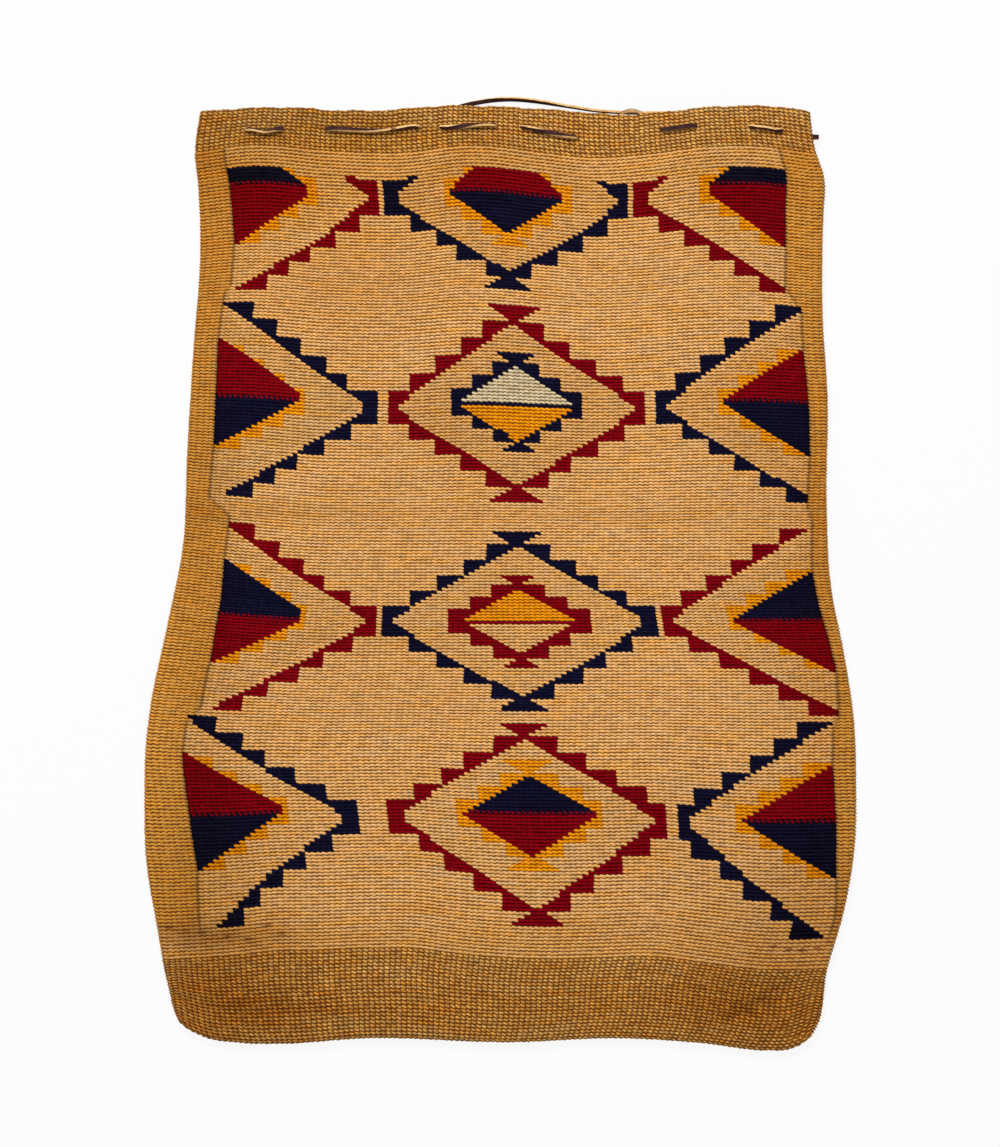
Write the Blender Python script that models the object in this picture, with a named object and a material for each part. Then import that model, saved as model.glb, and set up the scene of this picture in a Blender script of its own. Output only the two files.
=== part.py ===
"""A corn husk bag: a seamless bag twined in one piece, lying empty on its back wall, and the leather
strip that is laced in and out through its rim. Metres, +Z up, mouth towards +Y, pattern side up.
The origin is under the middle of the bag, on the surface that it lies on."""

import math

import bmesh
import bpy
import numpy as np
from mathutils import Vector

# The cloth
WALL = 0.0030
FOLD_RADIUS = 0.0035
CROWN = 0.0130
CROWN_REACH = 0.115
MOUTH_CROWN_SHARE = 0.80
MOUTH_SLACK_FROM = 0.040
MOUTH_SLACK_TO = 0.150
RIM_LIFT = 0.0020
RIM_LIFT_FROM = 0.085
RIM_LIFT_TO = 0.045
SURFACE_STEP = 0.025
NEAR_FOLD_STEPS = (0.008, 0.016, 0.028, 0.045)

# The outline lying flat, in millimetres from the middle of the bag
LEFT_EDGE = [
    (-286.9, -206.9),
    (-265.0, -214.5),
    (-221.6, -223.0),
    (-185.0, -229.0),
    (-145.0, -230.2),
    (-105.2, -229.0),
    (-79.4, -225.6),
    (-30.0, -215.2),
    (17.6, -205.6),
    (82.3, -202.4),
    (146.9, -198.5),
    (211.6, -194.0),
    (255.0, -195.5),
    (276.2, -198.5),
    (300.1, -195.2),
]
RIGHT_EDGE = [
    (-295.9, 200.4),
    (-253.9, 211.4),
    (-215.0, 222.5),
    (-176.3, 228.9),
    (-130.0, 230.0),
    (-92.3, 228.5),
    (-47.0, 221.7),
    (-8.2, 214.0),
    (49.9, 210.8),
    (114.6, 211.5),
    (172.8, 208.2),
    (237.4, 208.8),
    (259.0, 209.8),
    (280.0, 204.5),
    (302.1, 201.7),
]
BOTTOM_EDGE = [
    (-206.9, -286.9),
    (-194.0, -295.5),
    (-168.1, -300.5),
    (-142.2, -301.1),
    (-87.3, -297.6),
    (6.5, -300.1),
    (80.0, -297.6),
    (129.3, -300.5),
    (174.6, -305.4),
    (186.0, -304.8),
    (200.4, -295.9),
]
RIM_EDGE = [
    (-195.2, 300.1),
    (-177.8, 302.7),
    (-139.0, 304.3),
    (-100.2, 302.1),
    (-67.9, 302.7),
    (-45.0, 304.7),
    (12.9, 304.0),
    (48.5, 301.5),
    (80.8, 299.2),
    (113.1, 302.1),
    (138.0, 304.7),
    (160.0, 305.4),
    (182.0, 305.1),
    (201.7, 302.1),
]

# The leather strip
STRIP_WIDTH = 0.0030
STRIP_THICKNESS = 0.0013
STRIP_GAP = 0.0004
BEND_RADIUS = 0.0016
BEND_STEPS = 3
LACE_STEP = 0.009
UPRIGHT = 0.2
HOLE_LENGTH = 0.0026
HOLE_WIDTH = 0.0038
FLOOR_LEVEL = 0.00105
# The line that the lacing follows, in millimetres
LACE_LINE = [
    (-200.0, 290.0),
    (-163.6, 289.8),
    (-152.0, 288.0),
    (-140.3, 289.8),
    (-112.5, 289.8),
    (-80.0, 288.6),
    (-53.0, 291.1),
    (-38.1, 290.5),
    (-3.2, 292.4),
    (14.2, 290.5),
    (49.1, 284.6),
    (75.0, 286.0),
    (104.1, 289.2),
    (126.7, 291.8),
    (161.6, 291.1),
    (182.3, 289.0),
    (192.0, 285.9),
    (204.0, 285.9),
]
# Where the strip shows outside the front wall, from right to left, in millimetres
FRONT_RUNS = [
    (182.3, 161.6),
    (126.7, 104.1),
    (49.1, 14.2),
    (-3.2, -38.1),
    (-53.0, -112.5),
    (-140.3, -163.6),
]
# Where it shows outside the back wall, from left to right
BACK_RUNS = [(-171.0, -136.0), (-100.0, -62.0)]
LEFT_TURN = -178.0
LOOP_START = -45.3
# The slack loop, lying beyond the rim of the back wall
LOOP = [
    (-40.6, 295.4),
    (-36.0, 301.2),
    (-27.0, 305.4),
    (-15.0, 308.4),
    (-3.0, 310.2),
    (8.0, 310.6),
    (24.0, 309.2),
    (42.0, 306.3),
    (62.0, 303.2),
    (84.0, 301.7),
    (106.0, 301.5),
    (122.0, 300.2),
    (131.5, 297.0),
    (134.5, 293.2),
    (131.8, 291.6),
]
LOOP_END = 126.1
# The end that bends up out of the mouth and back into it
TAIL = [
    (104.0, 291.0),
    (98.0, 295.5),
    (92.5, 300.6),
    (85.3, 303.2),
    (78.5, 300.6),
    (73.0, 295.0),
    (66.0, 290.5),
]
RIGHT_START = 152.0
RIGHT_HOLE = 174.6
FOLD_BEND_OUT = 0.0006
FOLD_SLOT_DEPTH = 0.011
SLOT_REACH = 0.001

CLOTH_COLOUR = (0.50, 0.30, 0.10)
LEATHER_COLOUR = (0.07, 0.02, 0.02)
MM = 0.001


def smooth_line(points):
    """A function that runs smoothly through the points, given in millimetres, and works in metres."""
    at = np.array([p[0] for p in points]) * MM
    value = np.array([p[1] for p in points]) * MM
    slope = np.gradient(value, at)

    def line(t):
        k = int(np.clip(np.searchsorted(at, t) - 1, 0, len(at) - 2))
        width = at[k + 1] - at[k]
        s = (t - at[k]) / width
        return float(
            value[k] * (1 + 2 * s) * (1 - s) ** 2
            + slope[k] * width * s * (1 - s) ** 2
            + value[k + 1] * s**2 * (3 - 2 * s)
            - slope[k + 1] * width * s**2 * (1 - s)
        )

    return line


left_edge = smooth_line(LEFT_EDGE)
right_edge = smooth_line(RIGHT_EDGE)
bottom_edge = smooth_line(BOTTOM_EDGE)
rim_edge = smooth_line(RIM_EDGE)
lace_line = smooth_line(LACE_LINE)
BOTTOM_LEFT = Vector((BOTTOM_EDGE[0][0], BOTTOM_EDGE[0][1])) * MM
BOTTOM_RIGHT = Vector((BOTTOM_EDGE[-1][0], BOTTOM_EDGE[-1][1])) * MM
RIM_LEFT = Vector((RIM_EDGE[0][0], RIM_EDGE[0][1])) * MM
RIM_RIGHT = Vector((RIM_EDGE[-1][0], RIM_EDGE[-1][1])) * MM


def smooth_step(t):
    t = min(max(t, 0.0), 1.0)
    return t * t * (3 - 2 * t)


def across(v):
    """The left and right ends of the row at height share v."""
    y_left = BOTTOM_LEFT.y + v * (RIM_LEFT.y - BOTTOM_LEFT.y)
    y_right = BOTTOM_RIGHT.y + v * (RIM_RIGHT.y - BOTTOM_RIGHT.y)
    return Vector((left_edge(y_left), y_left)), Vector((right_edge(y_right), y_right))


def plan_point(u, v):
    """The place in plan of the point a share u across and v up, inside the four edges."""
    left, right = across(v)
    x_low = BOTTOM_LEFT.x + u * (BOTTOM_RIGHT.x - BOTTOM_LEFT.x)
    x_high = RIM_LEFT.x + u * (RIM_RIGHT.x - RIM_LEFT.x)
    low = Vector((x_low, bottom_edge(x_low)))
    high = Vector((x_high, rim_edge(x_high)))
    corners = (
        BOTTOM_LEFT * (1 - u) * (1 - v)
        + BOTTOM_RIGHT * u * (1 - v)
        + RIM_LEFT * (1 - u) * v
        + RIM_RIGHT * u * v
    )
    return low * (1 - v) + high * v + left * (1 - u) + right * u - corners


def crown(from_side, from_bottom, from_rim):
    """How much further apart the walls are here than at a fold."""
    side = 1 - (1 - min(from_side / CROWN_REACH, 1)) ** 3
    bottom = 1 - (1 - min(from_bottom / CROWN_REACH, 1)) ** 3
    slack = smooth_step((from_rim - MOUTH_SLACK_FROM) / (MOUTH_SLACK_TO - MOUTH_SLACK_FROM))
    mouth = MOUTH_CROWN_SHARE + (1 - MOUTH_CROWN_SHARE) * slack
    return CROWN * side * bottom * mouth


def lift(from_rim):
    """How far the back wall stands off the surface near the mouth, where the strip passes under it."""
    return RIM_LIFT * smooth_step((RIM_LIFT_FROM - from_rim) / (RIM_LIFT_FROM - RIM_LIFT_TO))


def half_fold(radius, from_fold):
    """Half the height of a rounded fold of this radius, at a distance in from its outermost line."""
    inside = min(max(from_fold, 0.0), radius)
    return math.sqrt(max(radius**2 - (radius - inside) ** 2, 0.0))


def wall_heights(from_side, from_bottom, from_rim, inset):
    """The heights of the front and back walls' outer faces, or of their inner ones if inset is the wall."""
    middle = FOLD_RADIUS + lift(from_rim)
    fold = half_fold(FOLD_RADIUS - inset, min(from_side, from_bottom) - inset)
    return middle + fold + crown(from_side, from_bottom, from_rim), middle - fold


def heights_at(x, inset):
    """The wall heights on the lacing line at this x."""
    y = lace_line(x)
    from_side = min(x - left_edge(y), right_edge(y) - x)
    from_rim = rim_edge(x) - y
    return wall_heights(from_side, CROWN_REACH, from_rim, inset)


def stations(inset, length, both_ends):
    """Distances along a row or a column, close together where the fold is round."""
    fold = FOLD_RADIUS - inset
    near = [inset + fold * share for share in (0.0, 0.17, 0.51, 1.0)]
    near += NEAR_FOLD_STEPS
    reach = length - near[-1] if both_ends else length
    count = max(2, round((reach - near[-1]) / SURFACE_STEP))
    middle = list(np.linspace(near[-1], reach, count + 1)[1:])
    return near + middle + ([length - d for d in near[-2::-1]] if both_ends else [])


def wall_grid(mesh, inset):
    """Adds the outer or inner faces of both walls and returns their rim vertices, front and back."""
    width = (RIM_RIGHT - RIM_LEFT).length
    height = RIM_LEFT.y - BOTTOM_LEFT.y
    columns = stations(inset, width, True)
    rows = stations(inset, height, False)
    front, back = [], []
    for j, up in enumerate(rows):
        v = up / height
        left, right = across(v)
        row_width = (right - left).length
        scale = (row_width - 2 * columns[7]) / (width - 2 * columns[7])
        front_row, back_row = [], []
        for i, along in enumerate(columns):
            side = min(i, len(columns) - 1 - i)
            if side > 7:
                along = columns[7] + (along - columns[7]) * scale
            elif i > 7:
                along = row_width - columns[side]
            place = plan_point(along / row_width, v)
            from_side = min(along, row_width - along)
            high, low = wall_heights(from_side, up, height - up, inset)
            front_vertex = mesh.verts.new((place.x, place.y, high))
            shared = j == 0 or side == 0
            back_row.append(front_vertex if shared else mesh.verts.new((place.x, place.y, low)))
            front_row.append(front_vertex)
        front.append(front_row)
        back.append(back_row)
    for grid, upward in ((front, inset == 0), (back, inset > 0)):
        for j in range(len(rows) - 1):
            for i in range(len(columns) - 1):
                a, b = grid[j][i], grid[j][i + 1]
                c, d = grid[j + 1][i + 1], grid[j + 1][i]
                mesh.faces.new((a, b, c, d) if upward else (d, c, b, a))
    return front[-1], back[-1]


def bag_mesh():
    """The closed shell: both walls inside and out, joined round the rim."""
    mesh = bmesh.new()
    outer_front, outer_back = wall_grid(mesh, 0.0)
    inner_front, inner_back = wall_grid(mesh, WALL)
    for i in range(len(outer_front) - 1):
        a, b = outer_front[i], outer_front[i + 1]
        mesh.faces.new((a, b, inner_front[i + 1], inner_front[i]))
        a, b = outer_back[i], outer_back[i + 1]
        mesh.faces.new((b, a, inner_back[i], inner_back[i + 1]))
    bmesh.ops.recalc_face_normals(mesh, faces=mesh.faces)
    return mesh


def level(side, face, x):
    """The height of the strip's middle where it lies against a wall on the lacing line."""
    front, back = heights_at(x, 0.0 if face == "outside" else WALL)
    clear = STRIP_GAP + STRIP_THICKNESS / 2
    if side == "front":
        return front + clear if face == "outside" else front - clear
    return back + clear if face == "inside" else max(back - clear, FLOOR_LEVEL)


def run(side, face, start, end):
    """Points along a wall from start to end, without the ends themselves."""
    count = max(1, round(abs(end - start) / LACE_STEP))
    points = []
    for k in range(1, count):
        x = start + (end - start) * k / count
        points.append(Vector((x, lace_line(x), level(side, face, x))))
    return points


def crossing(side, x, way, from_face):
    """Points that pass through a wall at x, travelling left (-1) or right (+1)."""
    to_face = "inside" if from_face == "outside" else "outside"
    y = lace_line(x)
    z_from = level(side, from_face, x - way * BEND_RADIUS)
    z_to = level(side, to_face, x + way * BEND_RADIUS)
    down = math.copysign(1.0, z_to - z_from)
    points = []
    for k in range(BEND_STEPS + 1):
        turn = 0.5 * math.pi * k / BEND_STEPS
        along = BEND_RADIUS * (math.sin(turn) - 1)
        drop = BEND_RADIUS * (1 - math.cos(turn))
        points.append(Vector((x + way * along, y, z_from + down * drop)))
    mirrored = [
        Vector((2 * x - p.x, y, z_to + z_from - p.z)) for p in reversed(points)
    ]
    return points + mirrored


def half_turn(centre_x, y, centre_z, radius, way, rising):
    """A half circle in the upright plane along X, bulging towards way."""
    points = []
    for k in range(2 * BEND_STEPS + 1):
        turn = math.pi * (k / (2 * BEND_STEPS) - 0.5)
        z = centre_z + radius * math.sin(turn) * (1 if rising else -1)
        points.append(Vector((centre_x + way * radius * math.cos(turn), y, z)))
    return points


def strip_route():
    """The middle line of the strip from its hidden right-hand end to its tail."""
    bend = BEND_RADIUS
    route = run("back", "inside", RIGHT_START * MM - LACE_STEP, RIGHT_HOLE * MM - bend)
    route += crossing("back", RIGHT_HOLE * MM, 1, "inside")
    y = lace_line(RIM_RIGHT.x)
    fold_x = right_edge(y) + FOLD_BEND_OUT
    middle = FOLD_RADIUS + lift(rim_edge(RIM_RIGHT.x) - y)
    route += run("back", "outside", RIGHT_HOLE * MM + bend, fold_x)
    radius = (middle - FLOOR_LEVEL) / 2
    route += half_turn(fold_x, y, FLOOR_LEVEL + radius, radius, 1, True)
    slot_end = fold_x - FOLD_SLOT_DEPTH
    route.append(Vector((slot_end, lace_line(slot_end), middle + 2 * STRIP_GAP)))
    here = slot_end
    for start, end in FRONT_RUNS:
        start, end = start * MM, end * MM
        route += run("front", "inside", here, start + bend)
        route += crossing("front", start, -1, "inside")
        route += run("front", "outside", start - bend, end + bend)
        route += crossing("front", end, -1, "outside")
        here = end - bend
    turn_x = LEFT_TURN * MM
    high = level("front", "inside", turn_x)
    low = level("back", "inside", turn_x)
    route += run("front", "inside", here, turn_x)
    radius = (high - low) / 2
    route += half_turn(turn_x, lace_line(turn_x), low + radius, radius, -1, False)
    here = turn_x
    for start, end in BACK_RUNS:
        start, end = start * MM, end * MM
        route += run("back", "inside", here, start - bend)
        route += crossing("back", start, 1, "inside")
        route += run("back", "outside", start + bend, end - bend)
        route += crossing("back", end, 1, "outside")
        here = end + bend
    route += run("back", "inside", here, LOOP_START * MM - bend)
    route += crossing("back", LOOP_START * MM, 1, "inside")
    route += [Vector((x * MM, y * MM, FLOOR_LEVEL)) for x, y in LOOP]
    route += crossing("back", LOOP_END * MM, -1, "outside")
    inside = level("back", "inside", TAIL[0][0] * MM)
    route += run("back", "inside", LOOP_END * MM - bend, TAIL[0][0] * MM)
    route += [Vector((x * MM, y * MM, inside)) for x, y in TAIL]
    return route


def strip_mesh(route):
    """The strip: a flat section carried along the route, wide across it and closed at both ends."""
    mesh = bmesh.new()
    wide = Vector((0, 1, 0))
    rings = []
    for k, point in enumerate(route):
        before = route[max(k - 1, 0)]
        after = route[min(k + 1, len(route) - 1)]
        forward = (after - before).normalized()
        level_way = Vector((-forward.y, forward.x, 0))
        if level_way.length > UPRIGHT:
            wide = level_way.normalized() * math.copysign(1.0, level_way.dot(wide))
        thick = forward.cross(wide)
        ring = []
        for across_sign, up_sign in ((1, 1), (-1, 1), (-1, -1), (1, -1)):
            corner = wide * (across_sign * STRIP_WIDTH / 2)
            corner += thick * (up_sign * STRIP_THICKNESS / 2)
            ring.append(mesh.verts.new(point + corner))
        rings.append(ring)
    for first, second in zip(rings, rings[1:]):
        for k in range(4):
            n = (k + 1) % 4
            mesh.faces.new((first[k], first[n], second[n], second[k]))
    mesh.faces.new(rings[0][::-1])
    mesh.faces.new(rings[-1])
    bmesh.ops.recalc_face_normals(mesh, faces=mesh.faces)
    return mesh


def hole_mesh():
    """Boxes that open the cloth where the strip goes through it."""
    mesh = bmesh.new()
    holes = [("front", x * MM) for pair in FRONT_RUNS for x in pair]
    holes += [("back", x * MM) for pair in BACK_RUNS for x in pair]
    holes += [("back", x * MM) for x in (LOOP_START, LOOP_END, RIGHT_HOLE)]
    for side, x in holes:
        outside = level(side, "outside", x)
        inside = level(side, "inside", x)
        size = Vector((HOLE_LENGTH, HOLE_WIDTH, abs(outside - inside) + WALL / 2))
        add_box(mesh, Vector((x, lace_line(x), (outside + inside) / 2)), size)
    y = lace_line(RIM_RIGHT.x)
    middle = FOLD_RADIUS + lift(rim_edge(RIM_RIGHT.x) - y)
    size = Vector((FOLD_SLOT_DEPTH, HOLE_WIDTH, HOLE_LENGTH))
    add_box(mesh, Vector((right_edge(y) + SLOT_REACH - size.x / 2, y, middle)), size)
    return mesh


def add_box(mesh, centre, size):
    made = bmesh.ops.create_cube(mesh, size=1.0)["verts"]
    for vertex in made:
        vertex.co = centre + Vector(a * b for a, b in zip(vertex.co, size))


def add_object(name, mesh, colour, roughness):
    data = bpy.data.meshes.new(name)
    mesh.to_mesh(data)
    mesh.free()
    if colour:
        material = bpy.data.materials.new(name)
        material.use_nodes = True
        shader = material.node_tree.nodes["Principled BSDF"]
        shader.inputs["Base Color"].default_value = (*colour, 1.0)
        shader.inputs["Roughness"].default_value = roughness
        shader.inputs["Metallic"].default_value = 0.0
        data.materials.append(material)
    made = bpy.data.objects.new(name, data)
    bpy.context.scene.collection.objects.link(made)
    return made


def clear_scene():
    for old in list(bpy.data.objects):
        bpy.data.objects.remove(old)


def build():
    clear_scene()
    bag = add_object("twined_bag", bag_mesh(), CLOTH_COLOUR, 0.85)
    holes = add_object("lacing_holes", hole_mesh(), None, 0.0)
    holes.hide_render = True
    holes.display_type = "WIRE"
    cut = bag.modifiers.new("lacing_holes", "BOOLEAN")
    cut.operation = "DIFFERENCE"
    cut.object = holes
    add_object("drawstring_thong", strip_mesh(strip_route()), LEATHER_COLOUR, 0.55)


build()
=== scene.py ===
"""How the corn husk bag looks: the twined cloth in its hemp, husk and wool yarns, and the leather strip
laced through its rim. Metres, +Z up, mouth towards +Y, pattern side up, on its back wall."""

import math
from collections import namedtuple

import bpy
import numpy as np
from mathutils import Matrix, Vector


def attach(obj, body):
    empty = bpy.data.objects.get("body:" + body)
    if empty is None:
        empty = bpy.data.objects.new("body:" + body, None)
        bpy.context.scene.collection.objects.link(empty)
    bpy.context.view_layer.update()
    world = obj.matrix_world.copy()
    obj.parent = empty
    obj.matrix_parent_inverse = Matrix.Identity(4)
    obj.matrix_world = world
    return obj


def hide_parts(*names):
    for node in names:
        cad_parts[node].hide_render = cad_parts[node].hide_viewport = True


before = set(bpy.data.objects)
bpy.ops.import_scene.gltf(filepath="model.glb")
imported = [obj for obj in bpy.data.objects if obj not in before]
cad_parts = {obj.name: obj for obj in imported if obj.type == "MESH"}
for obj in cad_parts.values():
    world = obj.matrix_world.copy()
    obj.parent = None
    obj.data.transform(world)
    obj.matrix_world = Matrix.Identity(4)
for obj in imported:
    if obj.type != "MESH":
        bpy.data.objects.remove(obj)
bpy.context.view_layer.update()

MM = 0.001

# The photograph's frame on the front wall, and the camera above it
VIEW_HEIGHT = 0.7415
VIEW_CENTRE = (0.0, 0.0024)
PATTERN_LEVEL = 0.0175
CAMERA_DISTANCE = 3.0
SENSOR = 0.036

# The cloth's walls, as in the part
WALL = 0.0030
FOLD_RADIUS = 0.0035
CROWN = 0.0130
CROWN_REACH = 0.115
MOUTH_CROWN_SHARE = 0.80
MOUTH_SLACK_FROM = 0.040
MOUTH_SLACK_TO = 0.150
RIM_LIFT = 0.0020
RIM_LIFT_FROM = 0.085
RIM_LIFT_TO = 0.045

# The outline lying flat, in millimetres from the middle of the bag
LEFT_EDGE = [
    (-286.9, -206.9), (-265.0, -214.5), (-221.6, -223.0), (-185.0, -229.0), (-145.0, -230.2),
    (-105.2, -229.0), (-79.4, -225.6), (-30.0, -215.2), (17.6, -205.6), (82.3, -202.4),
    (146.9, -198.5), (211.6, -194.0), (255.0, -195.5), (276.2, -198.5), (302.4, -195.2),
]
RIGHT_EDGE = [
    (-295.9, 200.4), (-253.9, 211.4), (-215.0, 222.5), (-176.3, 228.9), (-130.0, 230.0),
    (-92.3, 228.5), (-47.0, 221.7), (-8.2, 214.0), (49.9, 210.8), (114.6, 211.5),
    (172.8, 208.2), (237.4, 208.8), (259.0, 209.8), (280.0, 204.5), (302.1, 201.7),
]
BOTTOM_EDGE = [
    (-206.9, -286.9), (-194.0, -295.5), (-168.1, -300.5), (-142.2, -301.1), (-87.3, -297.6),
    (6.5, -300.1), (80.0, -297.6), (129.3, -300.5), (174.6, -305.4), (186.0, -304.8),
    (200.4, -295.9),
]
RIM_EDGE = [
    (-195.2, 302.4), (-177.8, 303.4), (-139.0, 304.3), (-100.2, 302.1), (-67.9, 302.7),
    (-45.0, 304.7), (12.9, 304.0), (48.5, 301.5), (80.8, 299.2), (113.1, 302.1),
    (138.0, 304.7), (160.0, 305.4), (182.0, 305.1), (201.7, 302.1),
]

# Rows of stitches are counted down from the rim, and columns round from the left fold
FRONT_COLUMNS = 122
COLUMNS = 2 * FRONT_COLUMNS
FIELD_FIRST_ROW = 11
FIELD_LAST_ROW = 257
LAST_ROW = 282
LIP_ROWS = 2
LIP_RADIUS = 0.0015
FOLD_COLUMNS = 3
# The folds lie lower than the pattern, so the camera sees them smaller: they spread by so much, in metres
LEFT_SPREAD, RIGHT_SPREAD, BOTTOM_SPREAD = 0.0012, 0.0018, 0.0024
SPREAD_REACH = 0.045

# The two lines where husk gives way to the hemp bands, in millimetres
FIELD_TOP = [
    (-195.2, 275.6), (-161.0, 279.4), (-111.8, 275.6), (-62.1, 274.3), (-22.0, 278.8),
    (-12.9, 278.8), (27.2, 274.3), (58.2, 271.1), (98.3, 273.6), (128.0, 277.5),
    (164.9, 278.8), (201.1, 275.0),
]
FIELD_BOTTOM = [
    (-213.3, -248.1), (-168.1, -244.2), (-146.1, -241.6), (-117.0, -241.0), (-82.8, -239.7),
    (-52.4, -240.0), (-35.6, -242.3), (-11.0, -244.9), (26.5, -246.8), (64.0, -246.2),
    (102.8, -245.5), (128.7, -248.8), (171.3, -253.9), (210.1, -253.9),
]
# Heights of some rows down the middle of the bag: wool rows are thicker than husk ones
ROW_HEIGHTS = [
    (11, 278.0), (19, 259.9), (29, 236.9), (39, 214.7), (49, 194.4), (58, 176.4), (68, 154.4),
    (78, 132.6), (83, 121.8), (88, 110.9), (93, 99.9), (103, 79.2), (113, 58.3), (118, 48.5),
    (128, 29.5), (137, 11.1), (147, -8.8), (157, -28.3), (167, -48.4), (177, -68.9), (186, -86.5),
    (194, -102.5), (204, -124.5), (214, -146.3), (224, -169.0), (234, -191.8), (244, -215.3),
    (257, -245.7),
]
# How far, in columns, the warps stray to the right at the panels' left and right borders, row by row
LEFT_DRIFT = [
    (11, 0.0), (18, 0.1), (39, 0.8), (70, -0.2), (103, 0.1), (139, -1.0), (152, -0.4), (172, -0.3),
    (201, -0.6), (233, 2.1), (257, 0.8), (282, 0.0),
]
RIGHT_DRIFT = [
    (11, -0.6), (18, -0.6), (39, -0.2), (70, -0.3), (103, 0.6), (139, -0.3), (172, 0.9), (201, -0.1),
    (228, 0.7), (243, 2.0), (257, 1.7), (282, 0.0),
]
LEFT_BORDER, RIGHT_BORDER = 7.0, 117.0

# Yarns
HUSK, HEMP, NAVY, RED, ORANGE, IVORY = range(6)
# Where a motif's colour changes, one row shows navy and red by turns within each stitch
BY_TURNS = 6

# The leather strip, as in the part
STRIP_WIDTH = 0.0030
STRIP_THICKNESS = 0.0013
STRIP_GAP = 0.0004
BEND_RADIUS = 0.0016
BEND_STEPS = 3
LACE_STEP = 0.009
UPRIGHT = 0.2
FLOOR_LEVEL = 0.00105
LACE_LINE = [
    (-200.0, 290.0), (-163.6, 289.8), (-152.0, 288.0), (-140.3, 289.8), (-112.5, 289.8),
    (-80.0, 288.6), (-53.0, 291.1), (-38.1, 290.5), (-3.2, 292.4), (14.2, 290.5),
    (49.1, 284.6), (75.0, 286.0), (104.1, 289.2), (126.7, 291.8), (161.6, 291.1),
    (182.3, 289.0), (192.0, 285.9), (204.0, 285.9),
]
FRONT_RUNS = [
    (182.3, 161.6), (126.7, 104.1), (49.1, 14.2), (-3.2, -38.1), (-53.0, -112.5),
    (-140.3, -163.6),
]
BACK_RUNS = [(-171.0, -136.0), (-100.0, -62.0)]
LEFT_TURN = -178.0
LOOP_START = -45.3
LOOP = [
    (-40.6, 295.4), (-36.0, 301.2), (-27.0, 305.4), (-15.0, 308.4), (-3.0, 310.2), (8.0, 310.6),
    (24.0, 309.2), (42.0, 306.3), (62.0, 303.2), (84.0, 301.7), (106.0, 301.5),
    (122.0, 300.2), (131.5, 297.0), (134.5, 293.2), (131.8, 291.6),
]
LOOP_END = 126.1
TAIL = [
    (104.0, 291.0), (98.0, 295.5), (92.5, 300.6), (85.3, 303.2), (78.5, 300.6),
    (73.0, 295.0), (66.0, 290.5),
]
RIGHT_START = 152.0
RIGHT_HOLE = 174.6
FOLD_BEND_OUT = 0.0006
FOLD_SLOT_DEPTH = 0.011


# Curves, and the heights of the walls


def between(first, second, slope, next_slope, gap, share):
    """A smooth curve's value part of the way from one of its points to the next."""
    return (
        first * (1 + 2 * share) * (1 - share) ** 2
        + slope * gap * share * (1 - share) ** 2
        + second * share**2 * (3 - 2 * share)
        - next_slope * gap * share**2 * (1 - share)
    )


def smooth_line(points, ends=(None, None)):
    """A function that runs smoothly through the points, given in millimetres, and works in metres."""
    at, value = np.array(points).T * MM
    slope = np.gradient(value, at)
    for place, given in zip((0, -1), ends):
        slope[place] = slope[place] if given is None else given

    def line(t):
        t = np.asarray(t, float)
        k = np.clip(np.searchsorted(at, t) - 1, 0, len(at) - 2)
        gap = at[k + 1] - at[k]
        return between(value[k], value[k + 1], slope[k], slope[k + 1], gap, (t - at[k]) / gap)

    return line


# The slopes given at the ends round the two lower corners
left_edge = smooth_line(LEFT_EDGE, (-0.8, None))
right_edge = smooth_line(RIGHT_EDGE, (0.8, None))
bottom_edge = smooth_line(BOTTOM_EDGE, (-1.15, 1.15))
rim_edge = smooth_line(RIM_EDGE)
lace_line = smooth_line(LACE_LINE)
field_top = smooth_line(FIELD_TOP)
field_bottom = smooth_line(FIELD_BOTTOM)
row_line = smooth_line([(row / MM, height) for row, height in ROW_HEIGHTS])


def smooth_step(t):
    t = np.clip(t, 0.0, 1.0)
    return t * t * (3 - 2 * t)


def half_fold(radius, from_fold):
    """Half the height of a rounded fold of this radius, at a distance in from its outermost line."""
    inside = np.clip(from_fold, 0.0, radius)
    return np.sqrt(np.maximum(radius**2 - (radius - inside) ** 2, 0.0))


def rim_lift(from_rim):
    """How far both walls rise near the rim."""
    return RIM_LIFT * smooth_step((RIM_LIFT_FROM - from_rim) / (RIM_LIFT_FROM - RIM_LIFT_TO))


def wall_heights(from_side, from_bottom, from_rim, inset):
    """The heights of the front and back walls' outer faces, or of their inner ones if inset is the wall."""
    side = 1 - (1 - np.clip(from_side / CROWN_REACH, 0, 1)) ** 3
    bottom = 1 - (1 - np.clip(from_bottom / CROWN_REACH, 0, 1)) ** 3
    slack = smooth_step((from_rim - MOUTH_SLACK_FROM) / (MOUTH_SLACK_TO - MOUTH_SLACK_FROM))
    crown = CROWN * side * bottom * (MOUTH_CROWN_SHARE + (1 - MOUTH_CROWN_SHARE) * slack)
    middle = FOLD_RADIUS + rim_lift(from_rim)
    fold = half_fold(FOLD_RADIUS - inset, np.minimum(from_side, from_bottom) - inset)
    return middle + fold + crown, middle - fold


# Camera


def place_object(name, data):
    made = bpy.data.objects.new(name, data)
    bpy.context.scene.collection.objects.link(made)
    return made


def make_camera():
    """A long lens straight above the bag, with the mouth at the top of the picture."""
    data = bpy.data.cameras.new("camera")
    data.sensor_width = SENSOR * 1000
    data.lens = SENSOR * 1000 * CAMERA_DISTANCE / VIEW_HEIGHT
    data.clip_end = 20.0
    camera = place_object("camera", data)
    camera.location = (*VIEW_CENTRE, PATTERN_LEVEL + CAMERA_DISTANCE)
    bpy.context.scene.camera = camera


# The strip's route, as in the part


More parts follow.
